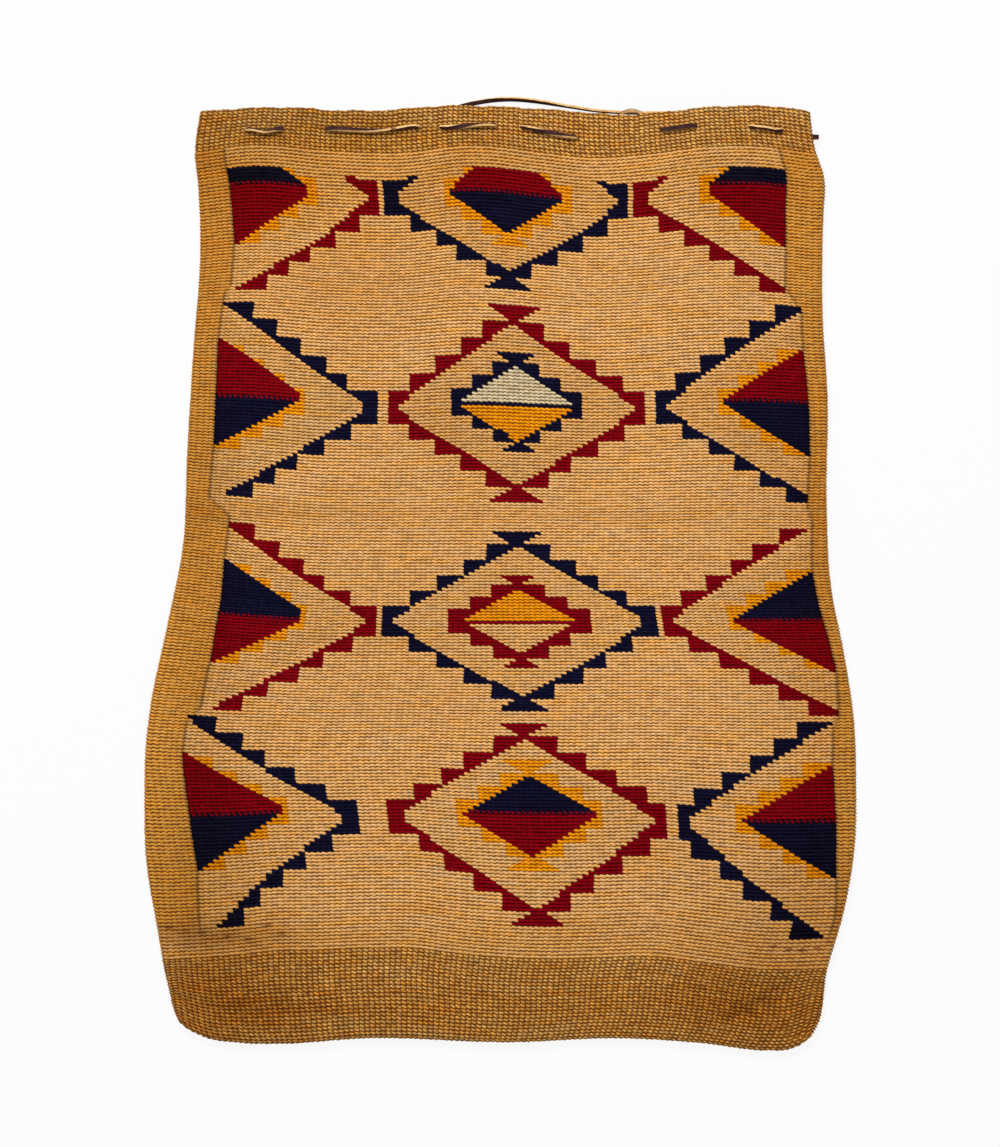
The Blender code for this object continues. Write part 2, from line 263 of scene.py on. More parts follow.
def level(side, face, x):
    """The height of the strip's middle where it lies against a wall on the lacing line."""
    inset = 0.0 if face == "outside" else WALL
    y = lace_line(x)
    from_side = min(x - left_edge(y), right_edge(y) - x)
    front, back = wall_heights(from_side, CROWN_REACH, rim_edge(x) - y, inset)
    clear = STRIP_GAP + STRIP_THICKNESS / 2
    if side == "front":
        return front + clear if face == "outside" else front - clear
    return back + clear if face == "inside" else max(back - clear, FLOOR_LEVEL)


def run(side, face, start, end):
    """Points along a wall from start to end, without the ends themselves."""
    count = max(1, round(abs(end - start) / LACE_STEP))
    places = [start + (end - start) * k / count for k in range(1, count)]
    return [Vector((x, lace_line(x), level(side, face, x))) for x in places]


def crossing(side, x, way, from_face):
    """Points that pass through a wall at x, travelling left (-1) or right (+1)."""
    to_face = "inside" if from_face == "outside" else "outside"
    y = lace_line(x)
    z_from = level(side, from_face, x - way * BEND_RADIUS)
    z_to = level(side, to_face, x + way * BEND_RADIUS)
    down = math.copysign(1.0, z_to - z_from)
    points = []
    for k in range(BEND_STEPS + 1):
        turn = 0.5 * math.pi * k / BEND_STEPS
        along = BEND_RADIUS * (math.sin(turn) - 1)
        drop = BEND_RADIUS * (1 - math.cos(turn))
        points.append(Vector((x + way * along, y, z_from + down * drop)))
    mirrored = [Vector((2 * x - p.x, y, z_to + z_from - p.z)) for p in reversed(points)]
    return points + mirrored


def half_turn(centre_x, y, centre_z, radius, way, rising):
    """A half circle in the upright plane along X, bulging towards way."""
    points = []
    for k in range(2 * BEND_STEPS + 1):
        turn = math.pi * (k / (2 * BEND_STEPS) - 0.5)
        z = centre_z + radius * math.sin(turn) * (1 if rising else -1)
        points.append(Vector((centre_x + way * radius * math.cos(turn), y, z)))
    return points


def laced(side, here, runs, way):
    """The route from here along a wall's inside with its runs outside, and where the last of them ends."""
    bend = way * BEND_RADIUS
    route = []
    for run_start, run_end in runs:
        start, end = run_start * MM, run_end * MM
        route += run(side, "inside", here, start - bend)
        route += crossing(side, start, way, "inside")
        route += run(side, "outside", start + bend, end - bend)
        route += crossing(side, end, way, "outside")
        here = end + bend
    return route, here


def strip_route():
    """The middle line of the strip from its hidden right-hand end to its tail."""
    bend = BEND_RADIUS
    rim_right = RIM_EDGE[-1][0] * MM
    route = run("back", "inside", RIGHT_START * MM - LACE_STEP, RIGHT_HOLE * MM - bend)
    route += crossing("back", RIGHT_HOLE * MM, 1, "inside")
    y = lace_line(rim_right)
    fold_x = right_edge(y) + FOLD_BEND_OUT
    middle = FOLD_RADIUS + rim_lift(rim_edge(rim_right) - y)
    route += run("back", "outside", RIGHT_HOLE * MM + bend, fold_x)
    radius = (middle - FLOOR_LEVEL) / 2
    route += half_turn(fold_x, y, FLOOR_LEVEL + radius, radius, 1, True)
    slot_end = fold_x - FOLD_SLOT_DEPTH
    route.append(Vector((slot_end, lace_line(slot_end), middle + 2 * STRIP_GAP)))
    front, here = laced("front", slot_end, FRONT_RUNS, -1)
    turn_x = LEFT_TURN * MM
    route += front + run("front", "inside", here, turn_x)
    high, low = level("front", "inside", turn_x), level("back", "inside", turn_x)
    radius = (high - low) / 2
    route += half_turn(turn_x, lace_line(turn_x), low + radius, radius, -1, False)
    back, here = laced("back", turn_x, BACK_RUNS, 1)
    route += back + run("back", "inside", here, LOOP_START * MM - bend)
    route += crossing("back", LOOP_START * MM, 1, "inside")
    route += [Vector((x * MM, y * MM, FLOOR_LEVEL)) for x, y in LOOP]
    route += crossing("back", LOOP_END * MM, -1, "outside")
    tail_x = TAIL[0][0] * MM
    route += run("back", "inside", LOOP_END * MM - bend, tail_x)
    tail_level = level("back", "inside", tail_x)
    return route + [Vector((x * MM, y * MM, tail_level)) for x, y in TAIL]


# The pattern: which yarn each stitch of the front wall is made of

# A diamond is toothed: its outline is a block at the middle row and a stair of teeth above and below.
# Outer diamonds step by five rows and about five columns, the motifs inside them by four.
OUTER_STEP, MOTIF_STEP = 5, 4
# Columns between two teeth of a middle diamond, whose warps lie a little wider than the side ones
CENTRE_STRIDE = 4.83
CENTRE_TEETH, CENTRE_MOTIF_TEETH = 4, 2
SIDE_TEETH, SIDE_MOTIF_TEETH = 5, 3
# How far the tooth beside the block reaches in the side diamonds and in their motifs
SIDE_FIRST, SIDE_MOTIF_FIRST = 25.5, 13.0
# The opening inside an outline: how much less than the block it reaches, and how fast it narrows row by row
BLOCK_WALL, OPENING_SLOPE = 2.0, 0.8
TIP_HALF_WIDTH = 0.7
# The first band's diamonds are cut off above these rows
OUTLINE_FIRST_ROW, MOTIF_FIRST_ROW = 18, 17

# A middle diamond: its middle row and column, its lean to the right row by row, its block's reach to each
# side, its first tooth's reach, the rows of its tips and its yarn. Then its motif's teeth: yarn, middle
# row, block, first tooth and rows of the tips. Then the motif's filling: middle row, reach there and at
# most, how fast it narrows upwards, and the yarns that paint_fill takes.
Centre = namedtuple("Centre", (
    "middle, centre, lean, block, first, tip_rows, outline, teeth, motif_middle, motif_block, motif_first, "
    "motif_tip_rows, fill_middle, fill_reach, fill_apex, fill_slope, fill"
))
CENTRES = [
    Centre(
        24, 60.2, 0.02, (24.0, 24.0), 19.4, 4, NAVY, ORANGE, 23.8, 12.4, 8.7, 3,
        23.8, 11.7, 11.0, 0.8, (RED, 23, BY_TURNS, NAVY),
    ),
    Centre(
        88, 62.6, 0.026, (25.0, 24.8), 20.3, 5, RED, NAVY, 87.3, 12.4, 8.2, 3,
        87.3, 11.3, 10.2, 1.0, (IVORY, 87, NAVY, ORANGE),
    ),
    Centre(
        157, 64.0, 0.026, (25.2, 25.0), 20.3, 4, NAVY, RED, 156.9, 12.7, 8.9, 3,
        156.9, 10.6, 10.0, 1.0, (ORANGE, 157, RED, HUSK),
    ),
    Centre(
        219, 66.5, 0.055, (24.5, 23.3), 20.1, 4, RED, ORANGE, 216.8, 12.4, 8.8, 4,
        217.3, 11.7, 11.4, 1.0, (NAVY, 216, BY_TURNS, RED),
    ),
]
# A half diamond at the left (1) or right (-1) border: its middle row and yarn, its upright line's column,
# lean and bow, its border's column, the reach of its block and of its opening. Then its motif: middle row
# and block of the teeth, middle row of the filling, its reach there and at most, and its row by turns.
Side = namedtuple("Side", (
    "way, middle, outline, start, border, block, apex, motif_middle, motif_block, fill_middle, fill_reach, "
    "fill_apex, line_row"
))
SIDES = [
    Side(1, 24, RED, (5.6, 0.03, 0.0015), 6, 29.4, 27.5, 22.9, 16.8, 22.9, 16.9, 15.4, 21),
    Side(-1, 24, RED, (115.5, 0.0, 0.0), 115, 30.5, 28.6, 22.9, 16.8, 22.9, 16.9, 15.4, 21),
    Side(1, 88, NAVY, (5.0, 0.028, 0.0017), 5, 30.8, 28.9, 86.6, 17.0, 85.6, 16.7, 16.0, 86),
    Side(-1, 88, NAVY, (119.2, 0.032, 0.0), 118, 29.9, 28.0, 86.6, 17.0, 87.0, 16.3, 16.0, 86),
    Side(1, 157, RED, (7.7, 0.048, 0.0014), 9, 30.4, 28.5, 155.9, 16.5, 155.6, 16.6, 15.4, 156),
    Side(-1, 157, RED, (120.0, 0.04, -0.0012), 119, 30.0, 28.1, 156.2, 16.9, 156.9, 16.8, 15.8, 156),
    Side(1, 219, NAVY, (5.9, 0.09, 0.0034), 7, 30.5, 28.6, 217.2, 17.0, 216.4, 17.0, 15.8, 217),
    Side(-1, 219, NAVY, (119.8, 0.012, -0.0017), 118, 28.3, 27.1, 217.2, 17.0, 217.1, 16.0, 15.6, 217),
]


def drift(around, row):
    """How far, in columns, a warp strays from an even spacing round the bag at a row."""
    left = np.interp(row, *zip(*LEFT_DRIFT))
    right = np.interp(row, *zip(*RIGHT_DRIFT))
    ahead = np.mod(around - LEFT_BORDER, COLUMNS)
    width = RIGHT_BORDER - LEFT_BORDER
    share = np.where(ahead < width, ahead / width, (COLUMNS - ahead) / (COLUMNS - width))
    return left + (right - left) * share


def tooth_middle(from_middle, step):
    """The middle row of the tooth that a row belongs to, both counted from the diamond's middle."""
    return np.sign(from_middle) * (np.floor(np.abs(from_middle) / step) + 0.5) * step


def toothed(reach, from_middle, step, stride, block, first, teeth):
    """Where a stitch lies inside the stair of teeth: each is step rows high and stride columns wide."""
    tooth = np.floor(from_middle / step) - 1
    outer = np.where(tooth < 0, block, first - stride * tooth)
    return (reach < outer) & (tooth < teeth)


def inside_of(from_middle, first, apex):
    """Half the width that a diamond's outline leaves open inside it."""
    return np.minimum(first + OUTER_STEP - 1 - from_middle, apex - OPENING_SLOPE * from_middle)


def tip(reach, from_middle, start, rows):
    """The small triangle that stands on a diamond's point."""
    above = from_middle - start
    return (above >= 0) & (above < rows) & (reach < above + TIP_HALF_WIDTH)


def paint_fill(yarn, where, row, fill):
    """Colours a motif's middle: the upper yarn, then one row of the line's yarn, then the lower yarn."""
    upper, line_row, line, lower = fill
    yarn[where & (row < line_row)] = upper
    yarn[where & (row == line_row)] = line
    yarn[where & (row > line_row)] = lower


def centre_place(column, band, down):
    """Columns from a middle diamond's upright line to a stitch, the line taken so many rows down it."""
    x = column + 0.5
    return x + drift(x, band.middle + down) - band.centre - band.lean * down


def side_reach(column, side, down):
    """Columns from a half diamond's upright line in to a stitch, the line taken so many rows down it."""
    start, lean, bow = side.start
    x = column + 0.5
    return side.way * (x + drift(x, side.middle + down) - start - lean * down - bow * down**2)


def paint_centre(yarn, row, column, band):
    """The whole diamond in the middle of a band, with its motif."""
    d = row + 0.5 - band.middle
    x = centre_place(column, band, tooth_middle(d, OUTER_STEP))
    reach, rows = np.abs(x), np.abs(d)
    block = np.where(x < 0, *band.block)
    outline = toothed(reach, rows, OUTER_STEP, CENTRE_STRIDE, block, band.first, CENTRE_TEETH)
    outline &= np.abs(centre_place(column, band, d)) >= inside_of(rows, band.first, block - BLOCK_WALL)
    outline |= tip(reach, rows, OUTER_STEP * (CENTRE_TEETH + 1), band.tip_rows)
    yarn[outline & (row >= OUTLINE_FIRST_ROW)] = band.outline
    d = row + 0.5 - band.motif_middle
    x = centre_place(column, band, band.motif_middle - band.middle + tooth_middle(d, MOTIF_STEP))
    reach, rows = np.abs(x), np.abs(d)
    fill_rows = row + 0.5 - band.fill_middle
    fill_rows = np.where(fill_rows < 0, -band.fill_slope * fill_rows, fill_rows)
    fill_edge = np.minimum(band.fill_reach - fill_rows, band.fill_apex)
    shown = row >= MOTIF_FIRST_ROW
    block, first = band.motif_block, band.motif_first
    motif = toothed(reach, rows, MOTIF_STEP, MOTIF_STEP, block, first, CENTRE_MOTIF_TEETH)
    motif |= tip(reach, rows, MOTIF_STEP * (CENTRE_MOTIF_TEETH + 1), band.motif_tip_rows)
    yarn[motif & (reach >= fill_edge) & shown] = band.teeth
    paint_fill(yarn, (reach < fill_edge) & shown, row, band.fill)


def paint_side(yarn, row, column, side):
    """Half a diamond that opens from a panel's border, with its half motif."""
    d = row + 0.5 - side.middle
    rows = np.abs(d)
    inward = side.way * (column + 0.5 - side.border)
    reach = side_reach(column, side, tooth_middle(d, OUTER_STEP))
    outline = toothed(reach, rows, OUTER_STEP, OUTER_STEP, side.block, SIDE_FIRST, SIDE_TEETH)
    outline &= side_reach(column, side, d) >= inside_of(rows, SIDE_FIRST, side.apex)
    yarn[outline & (inward >= 0) & (row >= OUTLINE_FIRST_ROW)] = side.outline
    rows = np.abs(row + 0.5 - side.motif_middle)
    fill_edge = np.minimum(side.fill_reach - np.abs(row + 0.5 - side.fill_middle), side.fill_apex)
    shown = (row >= MOTIF_FIRST_ROW) & (inward >= 0)
    block, first = side.motif_block, SIDE_MOTIF_FIRST
    motif = toothed(inward, rows, MOTIF_STEP, MOTIF_STEP, block, first, SIDE_MOTIF_TEETH)
    yarn[motif & (inward >= fill_edge) & shown] = ORANGE
    upper = RED if side.outline == NAVY else NAVY
    paint_fill(yarn, (inward < fill_edge) & shown, row, (upper, side.line_row, BY_TURNS, side.outline))


def front_pattern():
    """The yarn of each stitch of the front wall, as an array of rows and columns."""
    row, column = np.mgrid[0:LAST_ROW, 0:FRONT_COLUMNS]
    yarn = np.full(row.shape, HUSK)
    for centre in CENTRES:
        paint_centre(yarn, row, column, centre)
    for side in SIDES:
        paint_side(yarn, row, column, side)
    yarn[(row < FIELD_FIRST_ROW) | (row >= FIELD_LAST_ROW)] = HEMP
    return yarn


PATTERN = front_pattern()


# The cloth's surface: where any point of the stitch grid lies

# Broad, low waves of the front wall: middle x and y, reach across and up, slant and height
WAVES = [
    (-0.165, 0.180, 0.016, 0.100, 0.00, -0.0016),
    (0.175, 0.150, 0.018, 0.120, 0.00, -0.0010),
    (0.168, -0.279, 0.008, 0.032, 1.95, -0.0032),
    (0.176, -0.291, 0.008, 0.030, 1.95, 0.0040),
    (-0.160, -0.262, 0.050, 0.022, 0.20, 0.0012),
    (0.020, 0.020, 0.110, 0.030, 0.00, 0.0010),
    (-0.030, -0.225, 0.120, 0.020, 0.00, 0.0010),
]
# They die out over this distance from the folds, and as far again below this distance from the rim
WAVE_FADE = 0.03
WAVE_RIM_FROM = 0.02
# Small bumps of the rim line: height, length over two pi, and start
RIM_BUMPS = [(0.00030, 0.0051, 1.0), (0.00012, 0.0013, 0.0), (0.00015, 0.0023, 4.0)]
# The field's rows follow its top and bottom lines more and more from one height to another, by a power
TOP_FADE = (0.0, 0.278, 1.2)
BOTTOM_FADE = (-0.040, -0.245, 1.3)
# Rows rise towards the left fold: by how much, from which x, over what width, in millimetres, and by what
# power. The rise dies out at two heights, in metres.
LEFT_RISE, LEFT_RISE_FROM, LEFT_RISE_OVER, LEFT_RISE_POWER = 7.8, -110.0, 97.0, 1.5
LEFT_RISE_HEIGHTS = (0.277, -0.208)
# Round a fold the cloth is this much longer than the fold is deep in plan
FOLD_EXTRA = (math.pi / 2 - 1) * FOLD_RADIUS
# The side folds spread from this far below the rim, fully after as much more as the second says
SPREAD_FROM, SPREAD_OVER = 0.020, 0.040
PLACE_ROUNDS = 4


def soft_spot(across, up, reach_across, reach_up):
    """1 in the middle of a spot, dying out about its reach."""
    return np.exp(-((across / reach_across) ** 2) - (up / reach_up) ** 2)


def within(t, points):
    """t held between a line's first and last points."""
    return np.clip(t, points[0][0] * MM, points[-1][0] * MM)


def at_share(line, points, share):
    """A line's value at a share of the way from its first point to its last."""
    low, high = points[0][0] * MM, points[-1][0] * MM
    return line(low + share * (high - low))


def share_between(t, start, end):
    return np.clip((t - start) / (end - start), 0, 1)


def round_the_fold(arc, radius):
    """How far in from a fold's outermost line a point lies in plan, so far along the cloth from it."""
    quarter = radius * math.pi / 2
    bent = radius * (1 - np.cos(np.minimum(arc, quarter) / radius))
    return np.where(arc < quarter, bent, arc - quarter + radius)


def from_fold(columns, pitch, inset):
    """Distance in from a side fold, so many columns of this pitch from it."""
    span = FOLD_COLUMNS * pitch
    share = np.clip(columns / FOLD_COLUMNS, 0, 1)
    if inset == 0:
        near = round_the_fold(share * (span + FOLD_EXTRA), FOLD_RADIUS)
    else:
        near = inset + (span - inset) * share
    return np.where(columns < FOLD_COLUMNS, near, columns * pitch)


def rim_bumps(x):
    """The rim line's own small unevenness."""
    return sum(height * np.sin(x / length + start) for height, length, start in RIM_BUMPS)


def row_height(x, row, inset):
    """The y of a row line at x."""
    top = rim_edge(within(x, RIM_EDGE)) - LIP_RADIUS + rim_bumps(x)
    high = field_top(within(x, FIELD_TOP))
    low = field_bottom(within(x, FIELD_BOTTOM))
    bottom = bottom_edge(within(x, BOTTOM_EDGE))
    middle = row_line(np.clip(row, FIELD_FIRST_ROW, FIELD_LAST_ROW))
    over = np.clip((LEFT_RISE_FROM * MM - x) / (LEFT_RISE_OVER * MM), 0, None)
    rise = LEFT_RISE * MM * over**LEFT_RISE_POWER
    rise = rise * np.sin(math.pi * share_between(middle, *LEFT_RISE_HEIGHTS)) ** 2
    top_fade = share_between(middle, *TOP_FADE[:2]) ** TOP_FADE[2]
    bottom_fade = share_between(middle, *BOTTOM_FADE[:2]) ** BOTTOM_FADE[2]
    field = middle + top_fade * (high - field_top(0.0)) + bottom_fade * (low - field_bottom(0.0)) + rise
    band = high + (top - high) * (FIELD_FIRST_ROW - row) / FIELD_FIRST_ROW
    up = (LAST_ROW - row) / (LAST_ROW - FIELD_LAST_ROW)
    if inset == 0:
        base = bottom + round_the_fold(up * (low - bottom + FOLD_EXTRA), FOLD_RADIUS)
    else:
        base = bottom + inset + up * (low - bottom - inset)
    return np.where(row < FIELD_FIRST_ROW, band, np.where(row > FIELD_LAST_ROW, base, field))


def front_waves(x, y, from_side, from_bottom, from_rim):
    """Broad unevenness of the front wall, dying out towards the folds and the rim."""
    height = 0.0
    for mid_x, mid_y, reach_x, reach_y, slant, size in WAVES:
        across = (x - mid_x) * math.cos(slant) + (y - mid_y) * math.sin(slant)
        along = (y - mid_y) * math.cos(slant) - (x - mid_x) * math.sin(slant)
        height = height + size * soft_spot(across, along, reach_x, reach_y)
    fade = smooth_step(np.minimum(from_side, from_bottom) / WAVE_FADE)
    return height * fade * smooth_step((from_rim - WAVE_RIM_FROM) / WAVE_FADE)


def wall_point(around, row, inset):
    """Points on a wall's outer face, or on its inner one if inset is the wall, for columns right round."""
    around = np.mod(around, COLUMNS)
    around = np.mod(around + drift(around, row), COLUMNS)
    front = around < FRONT_COLUMNS
    column = np.where(front, around, COLUMNS - around)
    # A point's share of the way up gives its x and y, which give that share again, closer each round
    up = np.clip(1 - row / LAST_ROW, 0, 1)
    for _ in range(PLACE_ROUNDS):
        left = at_share(left_edge, LEFT_EDGE, up)
        width = at_share(right_edge, RIGHT_EDGE, up) - left
        pitch = width / FRONT_COLUMNS
        from_left = from_fold(column, pitch, inset)
        from_right = from_fold(FRONT_COLUMNS - column, pitch, inset)
        along = np.where(column < FRONT_COLUMNS / 2, from_left, width - from_right)
        x = left + along
        y = row_height(x, row, inset)
        low = at_share(bottom_edge, BOTTOM_EDGE, along / width)
        high = at_share(rim_edge, RIM_EDGE, along / width)
        up = np.clip((y - low) / (high - low), 0, 1)
    height = (RIM_EDGE[0][1] - BOTTOM_EDGE[0][1]) * MM
    from_side, from_bottom, from_rim = np.minimum(along, width - along), up * height, (1 - up) * height
    high, low = wall_heights(from_side, from_bottom, from_rim, inset)
    z = np.where(front, high + front_waves(x, y, from_side, from_bottom, from_rim), low)
    below_rim = smooth_step((from_rim - SPREAD_FROM) / SPREAD_OVER)
    x = x - LEFT_SPREAD * below_rim * smooth_step(1 - along / SPREAD_REACH)
    x = x + RIGHT_SPREAD * below_rim * smooth_step(1 - (width - along) / SPREAD_REACH)
    y = y - BOTTOM_SPREAD * smooth_step(1 - from_bottom / SPREAD_REACH)
    return np.stack([x, y, z], axis=-1)


def outer_point(around, row):
    """Points on the outside, and over the rounded lip, where rows count up from -2 inside the mouth."""
    outside = wall_point(around, np.maximum(row, 0.0), 0.0)
    inside = wall_point(around, np.zeros_like(row), WALL)
    turn = np.clip(-row / LIP_ROWS, 0, 1)[..., None] * math.pi
    lip = (outside + inside) / 2 + (outside - inside) / 2 * np.cos(turn)
    lip[..., 1] += LIP_RADIUS * np.sin(turn[..., 0])
    return np.where(row[..., None] < 0, lip, outside)


def unit(vectors):
    return vectors / np.maximum(np.linalg.norm(vectors, axis=-1, keepdims=True), 1e-12)


def directions(around, row):
    """Unit vectors along the row, up the column and out of the cloth."""
    step = 0.12
    above, below = np.maximum(row - step, -LIP_ROWS), np.minimum(row + step, LAST_ROW)
    along = unit(outer_point(around + step, row) - outer_point(around - step, row))
    up = unit(outer_point(around, above) - outer_point(around, below))
    out = unit(np.cross(along, up))
    return along, unit(np.cross(out, along)), out


# Twined cloth as a mesh: six quads a stitch, whose sides slant a little as the strands do.
# On a row's two boundary lines the points lie beside the joints, on the lines between on joint and crest.

PER_STITCH = 2
AROUND = COLUMNS * PER_STITCH
LINES_PER_ROW = 3
SLANT = 0.22
RINGS = [
    ("rim_band", -LIP_ROWS, FIELD_FIRST_ROW),
    ("husk_field_top", FIELD_FIRST_ROW, 73),
    ("husk_field_upper", 73, 134),
    ("husk_field_lower", 134, 196),
    ("husk_field_bottom", 196, FIELD_LAST_ROW),
    ("base_band", FIELD_LAST_ROW, LAST_ROW),
]
INNER_ROW_STEP = 8
# How much of the hemp's relief the finer husk and wool rows have
HUSK_JOINT_SHARE = 0.15
HUSK_WAVE_SHARE = 0.90
HEMP_WAVE_SHARE = 0.45
HUSK_UNEVEN_SHARE = 0.90
RIM_GROOVE_SHARE = 0.25


def outer_lines(first_row, last_row):
    """A ring's stitch grid: each point's row and column, its share of a crest, and if it is on a boundary."""
    line = np.arange((last_row - first_row) * LINES_PER_ROW + 1)[:, None]
    point = np.arange(AROUND)[None, :]
    third = line % LINES_PER_ROW
    row = first_row + line / LINES_PER_ROW + 0.0 * point
    on_boundary = (third == 0) & (point >= 0)
    beside = np.where(point % 2 == 0, point / 2 + SLANT / 2, (point + 1) / 2 - SLANT / 2)
    across = np.where(on_boundary, beside, point / 2 + SLANT * (third / LINES_PER_ROW - 0.5))
    crest = np.where(on_boundary, 0.5, (point % 2) * 1.0)
    return row, across, crest, on_boundary


def ring_faces(rows):
    """Quads of a ring's outside: their corners' points, which may run past either end, lines and rows."""
    point = np.arange(AROUND)
    points, lines, quad_rows = [], [], []
    for row in range(rows):
        for third, shift in enumerate((-1, 0, 0)):
            upper = row * LINES_PER_ROW + third
            points.append(np.stack([point, point + 1, point + 1 + shift, point + shift], 1))
            lines.append(np.tile([upper + 1, upper + 1, upper, upper], (AROUND, 1)))
            quad_rows.append(np.full(AROUND, row))
    return np.concatenate(points), np.concatenate(lines), np.concatenate(quad_rows)


def closed_below(corners, last):
    """Joins the back half of the bottom line of points, which starts at last, to its front half."""
    return np.where(corners >= last + AROUND // 2, 2 * last + AROUND - 1 - corners, corners)


def round_faces(starts):
    """Quads right round between each line of points and the next, given each line's first point."""
    here = np.arange(AROUND)
    after = np.mod(here + 1, AROUND)
    return np.concatenate([
        np.stack([upper + here, upper + after, lower + after, lower + here], 1)
        for upper, lower in zip(starts, starts[1:])
    ])


def ring_mesh(name, first_row, last_row):
    """One ring of the cloth, closed all round: twined outside and plain inside."""
    row, across, crest, boundary = outer_lines(first_row, last_row)
    along, up, out = directions(across, row)
    point, line, quad_row = ring_faces(last_row - first_row)
    wrapped = np.mod(point, AROUND)
    corner = line * AROUND + wrapped
    turns = (point - wrapped) // AROUND * COLUMNS

    # The inside, from the ring's first row to its last, and the ring's flat ends
    steps = max(2, round((last_row - first_row) / INNER_ROW_STEP))
    inner_rows = np.linspace(max(first_row, 0), last_row, steps + 1)
    if first_row < 0:
        inner_rows = inner_rows[1:]
    inner_row = inner_rows[:, None] + 0.0 * across[:1]
    inner_across = across[:1] + 0.0 * inner_row
    last = (len(row) - 1) * AROUND
    starts = [0] + [row.size + k * AROUND for k in range(len(inner_rows))]
    if last_row == LAST_ROW:
        corner, inner = closed_below(corner, last), closed_below(round_faces(starts), starts[-1])
    else:
        inner = round_faces([*starts, last])

    def joined(outer, inside=None):
        """A value for each point: the outer grid's, then the inside's, which are nothing if not given."""
        inside = np.zeros(inner_row.shape + outer.shape[2:]) if inside is None else inside
        return np.concatenate([values.reshape(-1, *outer.shape[2:]) for values in (outer, inside)])

    return {
        "name": name,
        "points": joined(outer_point(across, row), wall_point(inner_across, inner_row, WALL)),
        "faces": np.concatenate([corner, inner]),
        "row": joined(row, inner_row),
        "across": joined(across, inner_across),
        "joint": joined((1 - crest) * ~boundary),
        "groove": joined(boundary * np.where(row == -1, RIM_GROOVE_SHARE, 1.0)),
        "twined": joined(np.ones(row.shape)),
        "along": joined(along),
        "up": joined(up),
        "out": joined(out),
        "corner_across": across[line, wrapped] + turns,
        "corner_row": row[line, wrapped],
        "stitch": np.mod(point[:, 0] // PER_STITCH, COLUMNS),
        "second_half": np.mod(point[:, 0], PER_STITCH) > 0,
        "stitch_row": quad_row + first_row,
        "inner_faces": len(inner),
        "first_row": first_row,
        "last_row": last_row,
    }


# Age, wear and painted shade

# Tints of the cloth, patches lighter or darker: some for age and wear, some painted shade, as along the left
# fold where the cloth curves down. Each: middle x and y, reach across and up, and how much of red, green and
# blue is left
WEAR_AND_SHADE_TINTS = [
    (-0.120, 0.235, 0.110, 0.055, (0.93, 0.88, 0.74)),
    (0.160, 0.262, 0.080, 0.030, (0.90, 0.84, 0.68)),
    (-0.100, 0.276, 0.160, 0.026, (0.86, 0.78, 0.55)),
    (-0.185, 0.262, 0.040, 0.030, (0.88, 0.84, 0.70)),
    (-0.130, 0.296, 0.080, 0.012, (0.80, 0.80, 0.78)),
    (-0.195, 0.060, 0.022, 0.260, (0.84, 0.80, 0.70)),
    (0.208, 0.020, 0.016, 0.300, (0.97, 0.88, 0.74)),
    (-0.034, 0.098, 0.030, 0.022, (0.92, 0.90, 0.86)),
    (-0.160, 0.042, 0.070, 0.007, (0.86, 0.80, 0.64)),
    (-0.052, -0.214, 0.018, 0.004, (0.97, 0.86, 0.58)),
    (0.060, 0.040, 0.110, 0.004, (0.93, 0.89, 0.80)),
    (-0.090, -0.040, 0.080, 0.003, (0.92, 0.88, 0.80)),
    (0.000, -0.236, 0.260, 0.016, (0.94, 0.89, 0.72)),
    (-0.190, -0.200, 0.050, 0.070, (0.80, 0.76, 0.62)),
    (0.195, -0.215, 0.045, 0.050, (0.82, 0.79, 0.74)),
    (0.110, -0.165, 0.050, 0.035, (0.96, 0.95, 0.95)),
    (0.085, 0.000, 0.080, 0.110, (1.06, 1.07, 1.09)),
    (0.000, -0.100, 0.120, 0.060, (1.03, 1.03, 1.02)),
    (-0.175, -0.275, 0.060, 0.040, (0.77, 0.66, 0.44)),
    (0.170, -0.280, 0.060, 0.040, (0.78, 0.66, 0.44)),
    (0.000, -0.278, 0.350, 0.020, (0.95, 0.84, 0.60)),
    (-0.178, -0.232, 0.050, 0.008, (0.72, 0.68, 0.58)),
    (-0.130, -0.280, 0.060, 0.003, (0.80, 0.70, 0.60)),
    (0.162, -0.282, 0.030, 0.006, (0.84, 0.78, 0.66)),
    (-0.105, 0.178, 0.065, 0.030, (0.93, 0.90, 0.86)),
    (0.110, -0.083, 0.070, 0.030, (1.02, 1.03, 1.07)),
    (0.208, 0.200, 0.014, 0.075, (1.05, 1.10, 1.25)),
    (-0.200, -0.233, 0.022, 0.014, (0.93, 0.90, 0.84)),
    (0.065, -0.225, 0.050, 0.012, (0.96, 0.96, 0.98)),
]
# The husk inside the diamonds is of other batches: middle x and y, half width and height, and what is left
BATCH_TINTS = [
    (0.0045, 0.244, 0.081, 0.057, (0.91, 0.88, 0.79)),
    (-0.173, 0.254, 0.095, 0.065, (0.93, 0.93, 0.89)),
    (0.184, 0.254, 0.098, 0.065, (0.96, 0.97, 0.97)),
    (0.0103, 0.110, 0.084, 0.064, (0.91, 0.89, 0.83)),
    (-0.180, 0.112, 0.101, 0.063, (0.87, 0.88, 0.84)),
    (0.201, 0.110, 0.101, 0.063, (0.91, 0.87, 0.78)),
    (0.012, -0.028, 0.089, 0.057, (0.95, 0.95, 0.91)),
    (-0.180, -0.025, 0.101, 0.058, (0.92, 0.92, 0.92)),
    (0.214, -0.027, 0.113, 0.058, (0.94, 0.94, 0.94)),
    (0.0225, -0.155, 0.090, 0.065, (0.96, 0.98, 1.01)),
]
BATCH_SOFTNESS = 0.12
MARGIN_TINT = (0.88, 0.75, 0.37)
MARGIN_SOFTNESS = 0.8
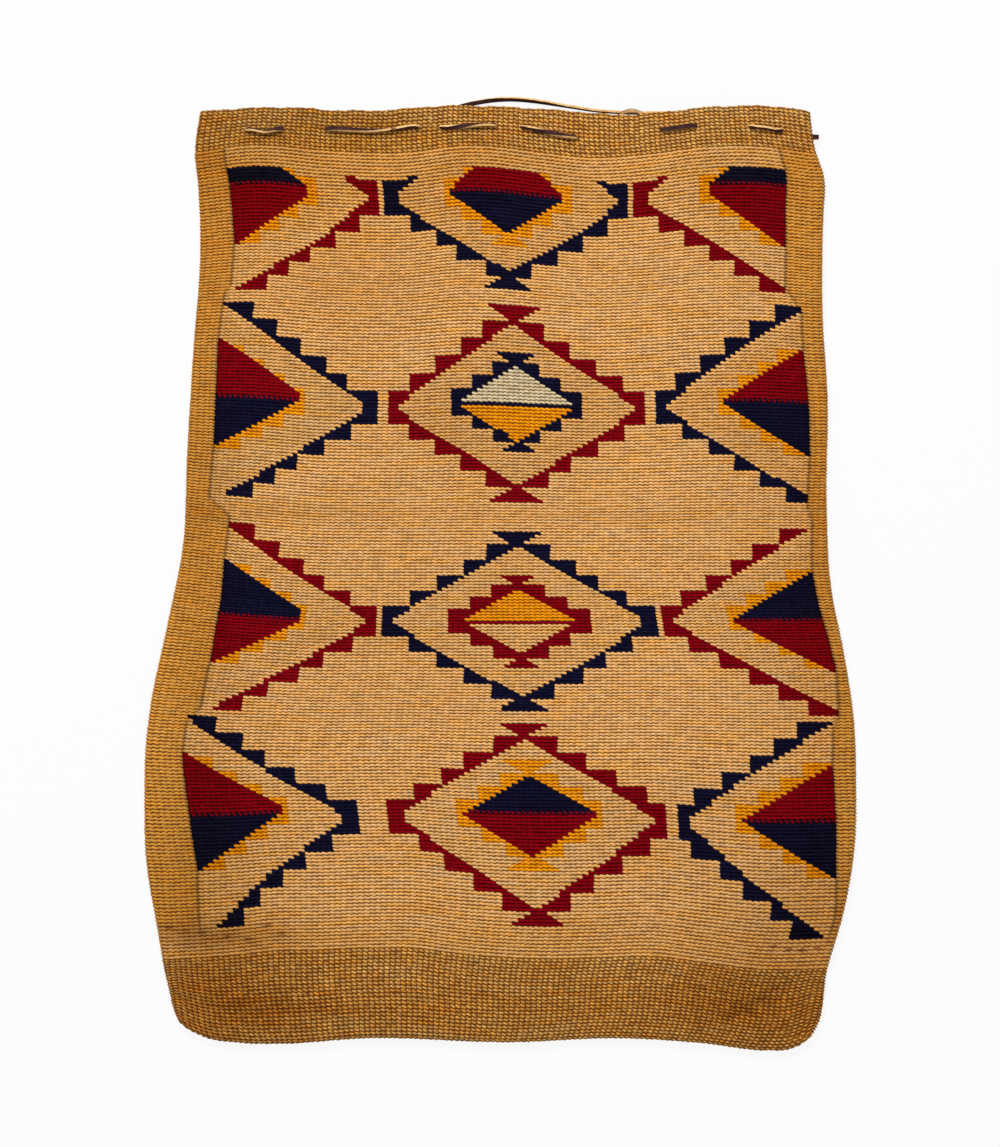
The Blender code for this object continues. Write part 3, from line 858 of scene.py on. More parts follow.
# A thin dark line where the panel's border turns back
BORDER_REACH = 0.28
BORDER_LEFT = 0.42
MARGIN_LAST_ROW = 252
MARGIN_FADE_ROWS = 6
# Worn and broken stitches near the lower corners, in millimetres
BROKEN_STITCHES = [
    (-214.6, -227.4), (-203.6, -228.7), (-192.7, -230.0), (-175.9, -232.6), (-162.9, -233.9),
    (-141.0, -230.0), (-150.0, -225.0), (177.8, -239.0), (187.5, -241.0), (195.9, -241.6),
    (205.6, -240.3), (201.0, -232.0),
]
BROKEN_LEFT = (0.50, 0.36, 0.22)
BROKEN_SIZE = (0.0021, 0.0011)
BROKEN_DEPTH = 1.7
# The panels' borders, as columns from the left fold, from row to row
LEFT_MARGIN = [(11, 6), (52, 6), (56, 5), (119, 5), (125, 9), (186, 9), (192, 7), (257, 7)]
RIGHT_MARGIN = [
    (11, 115), (52, 115), (60, 118), (119, 118), (125, 119), (186, 119), (192, 118), (257, 118),
]


def tinted(tint, share, left):
    """A tint after a share of the cloth keeps only so much of its red, green and blue."""
    return tint * (1 + (np.array(left) - 1) * share[:, None])


def cloth_tint(x, y, row, across):
    """How much of red, green and blue age, wear and painted shade leave at each point, by its place."""
    tint = np.ones((len(x), 3))
    # Patches of age and wear, and of painted shade
    for mid_x, mid_y, reach_x, reach_y, left in WEAR_AND_SHADE_TINTS:
        tint = tinted(tint, soft_spot(x - mid_x, y - mid_y, reach_x, reach_y), left)
    low = np.interp(row, *zip(*LEFT_MARGIN))
    high = np.interp(row, *zip(*RIGHT_MARGIN))
    column = np.where(across < FRONT_COLUMNS, across, COLUMNS - across)
    stitch_row = np.clip(np.floor(row), 0, LAST_ROW - 1).astype(int)
    yarn = PATTERN[stitch_row, np.floor(column).astype(int) % FRONT_COLUMNS]
    husk = (yarn == HUSK) & (column > low) & (column < high) & (across < FRONT_COLUMNS)
    for mid_x, mid_y, half_width, half_height, left in BATCH_TINTS:
        inside = 1 - np.abs(x - mid_x) / half_width - np.abs(y - mid_y) / half_height
        tint = tinted(tint, smooth_step(inside / BATCH_SOFTNESS) * husk, left)
    outside = np.maximum(low - column, column - high)
    shown = (row > FIELD_FIRST_ROW) * smooth_step((MARGIN_LAST_ROW - row) / MARGIN_FADE_ROWS)
    tint = tinted(tint, np.exp(-((outside / BORDER_REACH) ** 2)) * shown, BORDER_LEFT)
    for mid_x, mid_y in BROKEN_STITCHES:
        share = soft_spot(x - mid_x * MM, y - mid_y * MM, *BROKEN_SIZE)
        tint = tinted(tint, np.minimum(BROKEN_DEPTH * share, 1.0), BROKEN_LEFT)
    return tinted(tint, smooth_step(outside / MARGIN_SOFTNESS + 0.5) * shown, MARGIN_TINT)


# The rings as objects


def new_mesh(name, points, faces, layers):
    """A mesh from points and four-cornered faces, some of which have two corners that meet."""
    keep = faces != np.roll(faces, -1, axis=1)
    used, loops = np.unique(faces[keep], return_inverse=True)
    mesh = bpy.data.meshes.new(name)
    mesh.vertices.add(len(used))
    mesh.vertices.foreach_set("co", points[used].astype(np.float32).ravel())
    mesh.loops.add(len(loops))
    mesh.loops.foreach_set("vertex_index", loops.astype(np.int32).ravel())
    totals = keep.sum(axis=1)
    mesh.polygons.add(len(totals))
    mesh.polygons.foreach_set("loop_start", (np.cumsum(totals) - totals).astype(np.int32))
    mesh.update(calc_edges=True)
    for layer_name, values in layers:
        layer = mesh.uv_layers.new(name=layer_name)
        layer.uv.foreach_set("vector", values[keep].astype(np.float32).ravel())
    return mesh, used


def add_attribute(mesh, name, kind, domain, values):
    key = {"FLOAT_VECTOR": "vector", "FLOAT_COLOR": "color"}.get(kind, "value")
    number = {"INT": np.int32, "BOOLEAN": bool}.get(kind, np.float32)
    mesh.attributes.new(name, kind, domain).data.foreach_set(key, values.astype(number).ravel())


# Places in the baked picture: the front wall's, the back wall's and the inside's start and height
BAKE_FRONT, BAKE_WALL_HEIGHT = 0.01, 0.40
BAKE_BACK_SHIFT = 0.42
BAKE_INSIDE, BAKE_INSIDE_HEIGHT = 0.86, 0.13
BAKE_EDGE = 0.005
# How much of its height each strip of the inside fills there
BAKE_STRIP_SHARE = 0.8


def corner_layers(ring, back):
    """Each corner's place in the baked picture and in the stitch grid: the outside's, then the inside's."""
    first, last, inner = ring["first_row"], ring["last_row"], ring["inner_faces"]
    share = (ring["corner_row"] - first) / (last - first)
    across = ring["corner_across"] - np.where(back, FRONT_COLUMNS, 0)[:, None]
    bake = np.stack([(across + 1) / (FRONT_COLUMNS + 2), BAKE_FRONT + BAKE_WALL_HEIGHT * (1 - share)], -1)
    bake[back, :, 1] += BAKE_BACK_SHIFT
    strips = inner // AROUND
    strip, place = (values[:, None] for values in np.divmod(np.arange(inner), AROUND))
    place = place + np.array([0, 1, 1, 0])
    down = np.array([0, 0, 1, 1])
    inner_x = BAKE_EDGE + (1 - 2 * BAKE_EDGE) * (place / AROUND)
    inner_y = BAKE_INSIDE + BAKE_INSIDE_HEIGHT * ((strip + BAKE_STRIP_SHARE * down) / strips)
    stitch = np.stack([ring["corner_across"], ring["corner_row"]], -1)
    inner_stitch = np.stack([place / PER_STITCH, (strip + down) * (last - first) / strips + first], -1)
    return [
        ("OFBake", np.concatenate([bake, np.stack([inner_x, inner_y], -1)])),
        ("stitch", np.concatenate([stitch, inner_stitch])),
    ]


def ring_object(ring):
    """The ring as an object that carries what the relief and the yarns read."""
    inner, stitch_row = ring["inner_faces"], ring["stitch_row"]
    back = ring["stitch"] >= FRONT_COLUMNS
    mesh, used = new_mesh(ring["name"], ring["points"], ring["faces"], corner_layers(ring, back))
    yarn = np.where(back, HUSK, PATTERN[np.clip(stitch_row, 0, None), np.where(back, 0, ring["stitch"])])
    yarn = np.where(yarn == BY_TURNS, np.where(ring["second_half"], RED, NAVY), yarn)
    yarn = np.where((stitch_row < FIELD_FIRST_ROW) | (stitch_row >= FIELD_LAST_ROW), HEMP, yarn)
    add_attribute(mesh, "yarn", "INT", "FACE", np.concatenate([yarn, np.full(inner, HEMP)]))
    place, row, around = ring["points"][used], ring["row"][used], ring["across"][used]
    tint = cloth_tint(place[:, 0], place[:, 1], row, np.mod(around, COLUMNS))
    tint = np.concatenate([tint, np.ones((len(tint), 1))], axis=1)
    add_attribute(mesh, "tint", "FLOAT_COLOR", "POINT", tint)
    coarse = (row <= FIELD_FIRST_ROW) | (row >= FIELD_LAST_ROW)
    on_edge = ring["groove"][used] > 0
    wave = np.where(np.mod(around, 1) < 0.5, 1.0, -1.0) * on_edge * (row > -LIP_ROWS) * (row < LAST_ROW)
    values = {
        "groove": ring["groove"][used],
        "joint": ring["joint"][used] * np.where(coarse, 1.0, HUSK_JOINT_SHARE),
        "uneven": ring["twined"][used] * np.where(coarse, 1.0, HUSK_UNEVEN_SHARE),
        "wave": wave * np.where(coarse, HEMP_WAVE_SHARE, HUSK_WAVE_SHARE),
    }
    for name, numbers in values.items():
        add_attribute(mesh, name, "FLOAT", "POINT", numbers)
    for name in ("along", "up", "out"):
        add_attribute(mesh, name, "FLOAT_VECTOR", "POINT", ring[name][used])
    # One number for each strand, the same in both rings where they meet
    line = (np.floor(row + 1e-6) + LIP_ROWS) * 2 + on_edge
    strand = line * AROUND + np.mod(np.round(around * PER_STITCH), AROUND)
    add_attribute(mesh, "strand", "INT", "POINT", strand)
    add_attribute(mesh, "outside", "BOOLEAN", "FACE", np.arange(len(ring["faces"])) < len(yarn))
    return place_object(ring["name"], mesh)


def soften_ends(mesh):
    """Shades a ring's end lines straight out, as a groove's bottom is, and parts them from its flat ends."""
    outside = np.zeros(len(mesh.polygons), bool)
    mesh.attributes["outside"].data.foreach_get("value", outside)
    totals = np.zeros(len(outside), np.int32)
    mesh.polygons.foreach_get("loop_total", totals)
    corner_out = np.repeat(outside, totals)
    edge, vertex = np.zeros((2, len(mesh.loops)), np.int32)
    mesh.loops.foreach_get("edge_index", edge)
    mesh.loops.foreach_get("vertex_index", vertex)
    shared = np.zeros((2, 2, max(len(mesh.edges), len(mesh.vertices))), bool)
    for side, corners in enumerate((corner_out, ~corner_out)):
        shared[0, side, edge[corners]] = True
        shared[1, side, vertex[corners]] = True
    both = shared.all(axis=1)
    add_attribute(mesh, "sharp_edge", "BOOLEAN", "EDGE", both[0, :len(mesh.edges)])
    out = np.zeros((len(mesh.vertices), 3), np.float32)
    mesh.attributes["out"].data.foreach_get("vector", out.ravel())
    normals = np.where((corner_out & both[1, vertex])[:, None], out[vertex], 0.0)
    mesh.normals_split_custom_set(normals)


# Node helpers


class Number:
    """A number that a node gives, so that a sum of nodes is written as a sum."""

    def __init__(self, tree, socket):
        self.tree, self.socket = tree, socket

    def __add__(self, other):
        return math_of("ADD", self, other)

    def __sub__(self, other):
        return math_of("SUBTRACT", self, other)

    def __rsub__(self, other):
        return math_of("SUBTRACT", other, self)

    def __mul__(self, other):
        return math_of("MULTIPLY", self, other)


def math_of(operation, *values, clamp=False):
    """The result of a Math node, in the tree of the first of its numbers."""
    tree = next(value.tree for value in values if isinstance(value, Number))
    made = add_node(tree, "ShaderNodeMath", dict(enumerate(values)), operation=operation, use_clamp=clamp)
    return Number(tree, made.outputs[0])


def feed(tree, socket, value):
    """Links a node's output to a socket, or sets the socket to a plain value."""
    value = value.socket if isinstance(value, Number) else value
    if isinstance(value, bpy.types.NodeSocket):
        tree.links.new(value, socket)
    else:
        socket.default_value = value


def add_node(tree, kind, sockets=None, **settings):
    """A node with its settings, and with each named or numbered socket set or linked."""
    made = tree.nodes.new(kind)
    for name, value in settings.items():
        setattr(made, name, value)
    for key, value in (sockets or {}).items():
        feed(tree, made.inputs[key], value)
    return made


def group_inputs(tree, names, kind):
    for name in names:
        tree.interface.new_socket(name, in_out="INPUT", socket_type=kind)


def given_to(tree):
    """What a node group is given, by name."""
    return {socket.name: Number(tree, socket) for socket in tree.nodes.new("NodeGroupInput").outputs}


def mixed(tree, share, first, second, blend="MIX"):
    """A mix of two colours, by the Mix node's colour sockets, which come after those for numbers."""
    sockets = {0: share, 6: first, 7: second}
    return add_node(tree, "ShaderNodeMix", sockets, data_type="RGBA", blend_type=blend).outputs[2]


def new_material(name, roughness, shine=0.5):
    """A material, its node tree and its shader."""
    material = bpy.data.materials.new(name)
    material.use_nodes = True
    shader = material.node_tree.nodes["Principled BSDF"]
    shader.inputs["Roughness"].default_value = roughness
    shader.inputs["Specular IOR Level"].default_value = shine
    return material, material.node_tree, shader


def add_bump(tree, shader, strength, depth, height):
    """The finest relief of a surface, its depth in millimetres."""
    sockets = {"Strength": strength, "Distance": depth * MM, "Height": height}
    feed(tree, shader.inputs["Normal"], add_node(tree, "ShaderNodeBump", sockets).outputs[0])


# Relief of the twined strands, by Geometry Nodes

RELIEF = {"Groove Depth": 0.00080, "Joint Depth": 0.00060, "Row Wave": 0.00032, "Unevenness": 0.00030}
RELIEF_SEED = 5
# What the random draws of depth, of sway up and down and of slip along add to the seed
DEPTH_DRAW, SWAY_DRAW, SLIP_DRAW = 0, 7, 13
SWAY_SHARE = 0.8


def relief_tree():
    """Pushes the grid's points in at the strands' grooves and joints, then gives each stitch its yarn."""
    tree = bpy.data.node_groups.new("twined_relief", "GeometryNodeTree")
    group_inputs(tree, ["Geometry"], "NodeSocketGeometry")
    tree.interface.new_socket("Geometry", in_out="OUTPUT", socket_type="NodeSocketGeometry")
    group_inputs(tree, RELIEF, "NodeSocketFloat")
    group_inputs(tree, ["Seed"], "NodeSocketInt")
    group_inputs(tree, YARN_LOOKS, "NodeSocketMaterial")
    given = given_to(tree)

    def named(name, kind="FLOAT"):
        node = add_node(tree, "GeometryNodeInputNamedAttribute", {"Name": name}, data_type=kind)
        return Number(tree, node.outputs["Attribute"])

    def scaled(name, size):
        """One of the grid's own directions, scaled to a size."""
        sockets = {0: named(name, "FLOAT_VECTOR"), "Scale": size}
        return add_node(tree, "ShaderNodeVectorMath", sockets, operation="SCALE").outputs[0]

    def both(first, second):
        return add_node(tree, "ShaderNodeVectorMath", {0: first, 1: second}, operation="ADD").outputs[0]

    def random(low, high, draw):
        """A number for each strand between low and high."""
        node = add_node(tree, "FunctionNodeRandomValue", data_type="FLOAT")
        seed = given["Seed"] + draw
        for key, value in {"Min": low, "Max": high, "ID": named("strand", "INT"), "Seed": seed}.items():
            feed(tree, next(s for s in node.inputs if s.name == key and s.enabled), value)
        return Number(tree, next(s for s in node.outputs if s.enabled))

    uneven = named("uneven") * given["Unevenness"]
    depth = named("groove") * given["Groove Depth"] + named("joint") * given["Joint Depth"]
    depth = depth + random(0.0, 1.0, DEPTH_DRAW) * uneven
    sway = random(-SWAY_SHARE, SWAY_SHARE, SWAY_DRAW) * uneven * named("groove")
    rise = scaled("up", named("wave") * given["Row Wave"] + sway)
    slip = scaled("along", random(-1.0, 1.0, SLIP_DRAW) * uneven)
    moved = both(both(scaled("out", depth * -1.0), rise), slip)
    sockets = {"Geometry": given["Geometry"], "Offset": moved}
    last = add_node(tree, "GeometryNodeSetPosition", sockets).outputs[0]
    last = add_node(tree, "GeometryNodeRealizeInstances", {"Geometry": last}).outputs[0]
    for number, name in enumerate(YARN_LOOKS):
        sockets = {2: named("yarn", "INT"), 3: number}
        same = add_node(tree, "FunctionNodeCompare", sockets, data_type="INT", operation="EQUAL").outputs[0]
        sockets = {"Geometry": last, "Selection": same, "Material": given[name]}
        last = add_node(tree, "GeometryNodeSetMaterial", sockets).outputs[0]
    add_node(tree, "NodeGroupOutput", {0: last})
    return tree


def socket_id(tree, name):
    return next(item.identifier for item in tree.interface.items_tree if item.name == name)


def give_relief(base, tree, values):
    """Puts the object's evaluated mesh under the relief tree in the place of its own, as a plain mesh."""
    modifier = base.modifiers.new("relief", "NODES")
    modifier.node_group = tree
    for name, value in values.items():
        modifier[socket_id(tree, name)] = value
    graph = bpy.context.evaluated_depsgraph_get()
    mesh = bpy.data.meshes.new_from_object(base.evaluated_get(graph), depsgraph=graph)
    base.modifiers.remove(modifier)
    old = base.data
    base.data = mesh
    bpy.data.meshes.remove(old)
    mesh.name = base.name
    mesh.shade_smooth()
    soften_ends(mesh)
    for name in ("groove", "joint", "uneven", "along", "up", "out", "strand", "wave", "yarn", "outside"):
        mesh.attributes.remove(mesh.attributes[name])


# Materials

STRAND_INPUTS = [
    "Stitch Spread", "Streak Spread", "Fibre Spread", "Joint Share", "Gap Width", "Lean", "Bead", "Ply Share",
]
# How fast streaks change along a row, and how far apart in the noise two rows may start
STREAK_STEP, ROW_SHIFT = 0.075, 60.0
FIBRES_ALONG, FIBRES_ACROSS = 1.3, 9.0
# A gap's width is the least share of the one given, and up to so much more by chance
GAP_LEAST, GAP_UNEVEN = 0.55, 0.9
PLY_SLANT = 0.9
# How much sooner than a sine the strands reach their full crown beside a joint and beside a ply
JOINT_GAIN, PLY_GAIN = 1.6, 1.5
# How much streaks and fibres sway a strand's tone, before its own spreads
STREAK_GAIN, FIBRE_GAIN = 3.0, 2.5
FIBRE_RELIEF = 0.35
# The share of a yarn's other colour: at a middling streak, by the streaks and by each stitch's own chance
OTHER_SHARE, OTHER_BY_STREAK, OTHER_BY_STITCH = 0.25, 3.5, 0.5
YARN_BUMP = 0.8


def strand_group():
    """Shared by every yarn: reads the stitch grid and gives a strand's tone, its crown and its streaks."""
    tree = bpy.data.node_groups.new("twined_strand", "ShaderNodeTree")
    group_inputs(tree, STRAND_INPUTS, "NodeSocketFloat")
    for name in ("Tone", "Crown", "Surface", "Streak"):
        tree.interface.new_socket(name, in_out="OUTPUT", socket_type="NodeSocketFloat")
    given = given_to(tree)

    def chance(*place):
        """A number from 0 to 1 for each place, unlike the next one's. The last of place keeps draws apart."""
        vector = add_node(tree, "ShaderNodeCombineXYZ", dict(enumerate(place))).outputs[0]
        node = add_node(tree, "ShaderNodeTexWhiteNoise", {"Vector": vector}, noise_dimensions="3D")
        return Number(tree, node.outputs["Value"])

    def noise(detail, *place):
        vector = add_node(tree, "ShaderNodeCombineXYZ", dict(enumerate(place))).outputs[0]
        sockets = {"Vector": vector, "Scale": 1.0, "Detail": detail}
        node = add_node(tree, "ShaderNodeTexNoise", sockets, noise_dimensions="3D")
        return Number(tree, node.outputs["Fac"])

    def dulled(share, value):
        """1 less a share of how much a value lacks of 1."""
        return 1.0 - share * (1.0 - value)

    grid = add_node(tree, "ShaderNodeUVMap", uv_map="stitch").outputs[0]
    split = add_node(tree, "ShaderNodeSeparateXYZ", {0: grid}).outputs
    across, row = Number(tree, split[0]), Number(tree, split[1])
    down, row_number = math_of("FRACT", row), math_of("FLOOR", row)
    place = across - (down - 0.5) * SLANT
    over, stitch_number = math_of("FRACT", place), math_of("FLOOR", place)
    per_stitch = chance(stitch_number, row_number, 0.5)
    per_gap = chance(stitch_number, math_of("ROUND", row), 7.5)
    per_row = chance(0.5, row_number, 3.5)
    streak = noise(2.0, across * STREAK_STEP + per_row * ROW_SHIFT, row_number, 0.0)
    fibre = noise(3.0, place * FIBRES_ALONG, row * FIBRES_ACROSS, per_stitch)
    # The crown is 1 along a strand's middle and falls in the gaps above and below it and at its joints.
    # The yarns darken to painted shade where it falls, and it also shapes their bump.
    width = given["Gap Width"] * (per_gap * GAP_UNEVEN + GAP_LEAST)
    away = math_of("ABSOLUTE", down - 0.5 - (over - 0.5) * given["Lean"])
    joint = math_of("SINE", over * math.pi)
    half = 0.5 - given["Bead"] * (1.0 - joint)
    ridge = math_of("DIVIDE", half - away, math_of("MAXIMUM", width, 0.01), clamp=True)
    joint = dulled(given["Joint Share"], math_of("MULTIPLY", joint, JOINT_GAIN, clamp=True))
    # Two plies lie side by side in a stitch, slanting down to the right
    ply = math_of("ABSOLUTE", math_of("SINE", (over * 2.0 - down * PLY_SLANT) * math.pi))
    ply = dulled(given["Ply Share"], math_of("MULTIPLY", ply, PLY_GAIN, clamp=True))
    crown = ridge * joint * ply
    tone = (per_stitch - 0.5) * given["Stitch Spread"] + 1.0
    tone = (streak - 0.5) * STREAK_GAIN * given["Streak Spread"] + tone
    tone = (fibre - 0.5) * FIBRE_GAIN * given["Fibre Spread"] + tone
    other = (streak - 0.5) * OTHER_BY_STREAK + OTHER_SHARE
    other = math_of("ADD", other, per_stitch * OTHER_BY_STITCH, clamp=True)
    add_node(tree, "NodeGroupOutput", {0: tone, 1: crown, 2: crown + fibre * FIBRE_RELIEF, 3: other})
    return tree


def to_linear(colour):
    """A colour given from 0 to 255, as the renderer's linear values."""
    share = np.array(colour) / 255
    linear = np.where(share <= 0.04045, share / 12.92, ((share + 0.055) / 1.055) ** 2.4)
    return (*[float(c) for c in linear], 1.0)


def yarn_material(name, group, look):
    """One yarn: its two colours by turns on its crowns, painted shade in the gaps, uneven from strand to
    strand.
    """
    light, other, dark, spreads, roughness, shine, depth = look
    material, tree, shader = new_material(name, roughness, shine)
    strand = tree.nodes.new("ShaderNodeGroup")
    strand.node_tree = group
    for key, value in zip(STRAND_INPUTS, spreads):
        strand.inputs[key].default_value = value
    tone, crown, surface, streak = strand.outputs
    body = mixed(tree, streak, to_linear(light), to_linear(other))
    body = add_node(tree, "ShaderNodeVectorMath", {0: body, "Scale": tone}, operation="SCALE").outputs[0]
    # Painted shade: where the crown falls, in the gaps, joints and plies, the colour falls to the gap colour
    body = mixed(tree, crown, to_linear(dark), body)
    tint = add_node(tree, "ShaderNodeVertexColor", layer_name="tint").outputs[0]
    feed(tree, shader.inputs["Base Color"], mixed(tree, 1.0, body, tint, "MULTIPLY"))
    add_bump(tree, shader, YARN_BUMP, depth, surface)
    return material


# Each yarn: its name; its light and other colours, and its gap colour, which is painted shade where the crown
# falls, in the gaps between rows, at the joints and between the plies; spreads of its tone by stitch, streak
# and fibre, then joint share, gap width, lean, bead and ply share of a strand; roughness, shine and the depth
# of its finest relief in millimetres. The order is that of the yarns' numbers.
YARN_LOOKS = {
    "Husk": (
        "corn_husk", (245, 190, 124), (235, 168, 82), (82, 40, 8),
        (0.14, 0.16, 0.40, 0.08, 0.23, 0.05, 0.14, 0.10), 0.62, 0.10, 0.35,
    ),
    "Hemp": (
        "hemp_twine", (254, 202, 120), (234, 162, 70), (90, 38, 0),
        (0.35, 0.12, 1.30, 0.80, 0.30, 0.14, 0.16, 0.72), 0.85, 0.06, 0.45,
    ),
    "Navy Wool": (
        "navy_wool", (25, 24, 52), (17, 16, 38), (5, 4, 11),
        (0.35, 0.12, 0.30, 0.25, 0.28, 0.08, 0.12, 0.0), 0.95, 0.02, 0.30,
    ),
    "Red Wool": (
        "red_wool", (145, 6, 20), (127, 5, 16), (52, 2, 6),
        (0.12, 0.06, 0.18, 0.20, 0.26, 0.08, 0.12, 0.0), 0.95, 0.02, 0.30,
    ),
    "Orange Wool": (
        "orange_wool", (252, 162, 22), (238, 146, 13), (120, 56, 3),
        (0.12, 0.06, 0.16, 0.20, 0.27, 0.08, 0.14, 0.0), 0.95, 0.02, 0.30,
    ),
    "Ivory Wool": (
        "ivory_wool", (231, 210, 169), (215, 191, 148), (96, 74, 46),
        (0.12, 0.06, 0.16, 0.20, 0.26, 0.08, 0.14, 0.0), 0.95, 0.02, 0.30,
    ),
}


def make_cloth():
    """The twined bag, ring by ring."""
    group = strand_group()
    yarns = {key: yarn_material(name, group, look) for key, (name, *look) in YARN_LOOKS.items()}
    tree = relief_tree()
    for name, first_row, last_row in RINGS:
        ring = ring_object(ring_mesh(name, first_row, last_row))
        give_relief(ring, tree, {**RELIEF, "Seed": RELIEF_SEED, **yarns})
        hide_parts("twined_bag")
        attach(ring, "root")
    bpy.data.node_groups.remove(tree)


# The leather strip

STRIP_SIDES = 16
STRIP_SUBSTEPS = 3
STRIP_EDGE_ROUND = 0.25
# Thicker than in the part, so that its pale cut edge shows as wide as in the photograph
SHOWN_THICKNESS = 0.0016
# A leaning strip stands on its edge, so its middle rises by this share of its width
STRIP_RISE = 0.28
# The strip's loop lies this near the rim, and its front runs lie above a share of the front wall's height,
# which is taken this far below the rim
LOOP_FROM_RIM, FRONT_RUN_SHARE, LACE_FROM_RIM = 0.004, 0.6, 0.012
# A side of the section is its cut edge where both its corners lie beyond this share of the width
CUT_EDGE_FROM = 0.47
SHARP_CORNER = math.radians(38)
# How far the strip leans over as it runs, in degrees: x in millimetres; its lower edge turns up above zero
FRONT_LEANS = [
    (-163.6, 60), (-155.0, 72), (-147.0, 55), (-142.0, 10), (-138.0, 0), (-112.0, 0), (-107.0, 34),
    (-96.0, 40), (-84.0, 54), (-74.0, 78), (-64.0, 104), (-55.0, 128), (-46.0, 0), (-38.0, -50),
    (-33.0, -60), (-25.0, 0), (-20.0, 42), (-13.0, 70), (-6.0, 82), (-3.0, 50), (0.0, 0), (14.0, -30),
    (18.0, -66), (26.0, -30), (34.0, 18), (44.0, 58), (49.0, 48), (52.0, 0), (104.0, 0), (126.0, 0),
    (160.0, -30), (166.0, -70), (178.0, -66), (183.0, -20),
]
LOOP_LEANS = [
    (-45.0, 0), (-30.0, 0), (-8.0, -20), (4.0, -42), (30.0, -55), (44.0, -74), (90.0, -78),
    (114.0, -62), (125.0, -30), (134.0, 0),
]
# The leather's roughness and shine, scale and detail of its patches and its pores, where the patches'
# lighter colour starts and how fast it grows, and the strength and depth in millimetres of its relief
LEATHER_ROUGHNESS, LEATHER_SHINE = 0.8, 0.12
PATCHES, PORES = (260.0, 3.0), (2200.0, 2.0)
PATCH_START, PATCH_GAIN = 0.3, 2.4
LEATHER_BUMP, LEATHER_DEPTH = 0.6, 0.08
# Each finish: its name and its light and dark colours. The strip is dark on its face and pale where cut.
# Its flesh side, which faces down, is its own colour darkened with painted shade.
GRAIN, CUT, FLESH_WITH_SHADE = range(3)
LEATHERS = [
    ("leather_grain", (72, 42, 40), (40, 22, 22)),
    # The flesh side: its own colour darkened with painted shade, as it faces down
    ("leather_cut", (240, 198, 136), (210, 158, 96)),
    ("leather_flesh_painted_shade", (104, 62, 42), (70, 40, 26)),
]


def lean_at(place):
    """How far the strip leans over at a point of its route, in radians."""
    front = wall_heights(CROWN_REACH, CROWN_REACH, LACE_FROM_RIM, 0.0)[0]
    if place.y > rim_edge(place.x) - LOOP_FROM_RIM:
        table = LOOP_LEANS
    elif place.z > front * FRONT_RUN_SHARE:
        table = FRONT_LEANS
    else:
        return 0.0
    return math.radians(float(np.interp(place.x / MM, *zip(*table))))


def smooth_route(route):
    """The route with more points, on one curve that passes through all of its own."""
    points = np.array(route)
    length = np.concatenate([[0], np.cumsum(np.linalg.norm(np.diff(points, axis=0), axis=1))])
    slope = np.gradient(points, length, axis=0)
    shares = np.arange(STRIP_SUBSTEPS) / STRIP_SUBSTEPS
    fine = [
        between(points[k], points[k + 1], slope[k], slope[k + 1], length[k + 1] - length[k], share)
        for k in range(len(points) - 1)
        for share in shares
    ]
    return [Vector(p) for p in (*fine, points[-1])]


def strip_section():
    """Corners of the strip's cut across, as shares of its width and thickness, from its upper left round."""
    turns = [2 * math.pi * (k + 0.5) / STRIP_SIDES for k in range(STRIP_SIDES)]
    rounded = [(math.cos(turn), math.sin(turn)) for turn in turns]
    return [tuple(math.copysign(abs(v) ** STRIP_EDGE_ROUND, v) / 2 for v in pair) for pair in rounded]


def strip_points(fine, section):
    """The section carried along the route, leaning over as it runs."""
    wide = Vector((0, 1, 0))
    points = []
    for k, place in enumerate(fine):
        before, after = fine[max(k - 1, 0)], fine[min(k + 1, len(fine) - 1)]
        forward = (after - before).normalized()
        level_way = Vector((-forward.y, forward.x, 0))
        if level_way.length > UPRIGHT:
            wide = level_way.normalized() * math.copysign(1.0, level_way.dot(wide))
        lean = math.copysign(1.0, wide.y) * lean_at(place)
        side = Matrix.Rotation(-lean * math.copysign(1.0, forward.x), 3, forward) @ wide
        thick = side.cross(forward)
        if thick.z <= 0:
            thick = forward.cross(side)
        raised = place + Vector((0, 0, abs(math.sin(lean)) * STRIP_WIDTH * STRIP_RISE))
        for w, t in section:
            points.append(raised + side * (w * STRIP_WIDTH) + thick * (t * SHOWN_THICKNESS))
    return points


def side_finish(section, n):
    """The finish of the strip's nth side: cut at its two edges, flesh with painted shade below and grain
    above.
    """
    if min(abs(section[n][0]), abs(section[(n + 1) % STRIP_SIDES][0])) > CUT_EDGE_FROM:
        return CUT
    return FLESH_WITH_SHADE if section[n][1] < 0 else GRAIN


def make_strip():
    """The laced strip: a flat leather section carried along its route."""
    route = strip_route()
    fine = smooth_route(route)
    section = strip_section()
    sides = range(STRIP_SIDES)
    faces = []
    for start in range(0, (len(fine) - 1) * STRIP_SIDES, STRIP_SIDES):
        for n in sides:
            m = (n + 1) % STRIP_SIDES
            faces.append((start + n, start + m, start + STRIP_SIDES + m, start + STRIP_SIDES + n))
    ends = [tuple(sides)[::-1], tuple((len(fine) - 1) * STRIP_SIDES + n for n in sides)]
    mesh = bpy.data.meshes.new("drawstring_strip")
    mesh.from_pydata([tuple(p) for p in strip_points(fine, section)], [], faces + ends)
    for finish in LEATHERS:
        mesh.materials.append(leather_material(*finish))
    finishes = [side_finish(section, n) for n in sides] * (len(fine) - 1) + [CUT] * len(ends)
    mesh.polygons.foreach_set("material_index", finishes)
    mesh.shade_smooth()
    mesh.set_sharp_from_angle(angle=SHARP_CORNER)
    strip = place_object("drawstring_strip", mesh)
    length = sum((b - a).length for a, b in zip(route, route[1:]))
    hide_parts("drawstring_thong")
    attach(strip, "root")


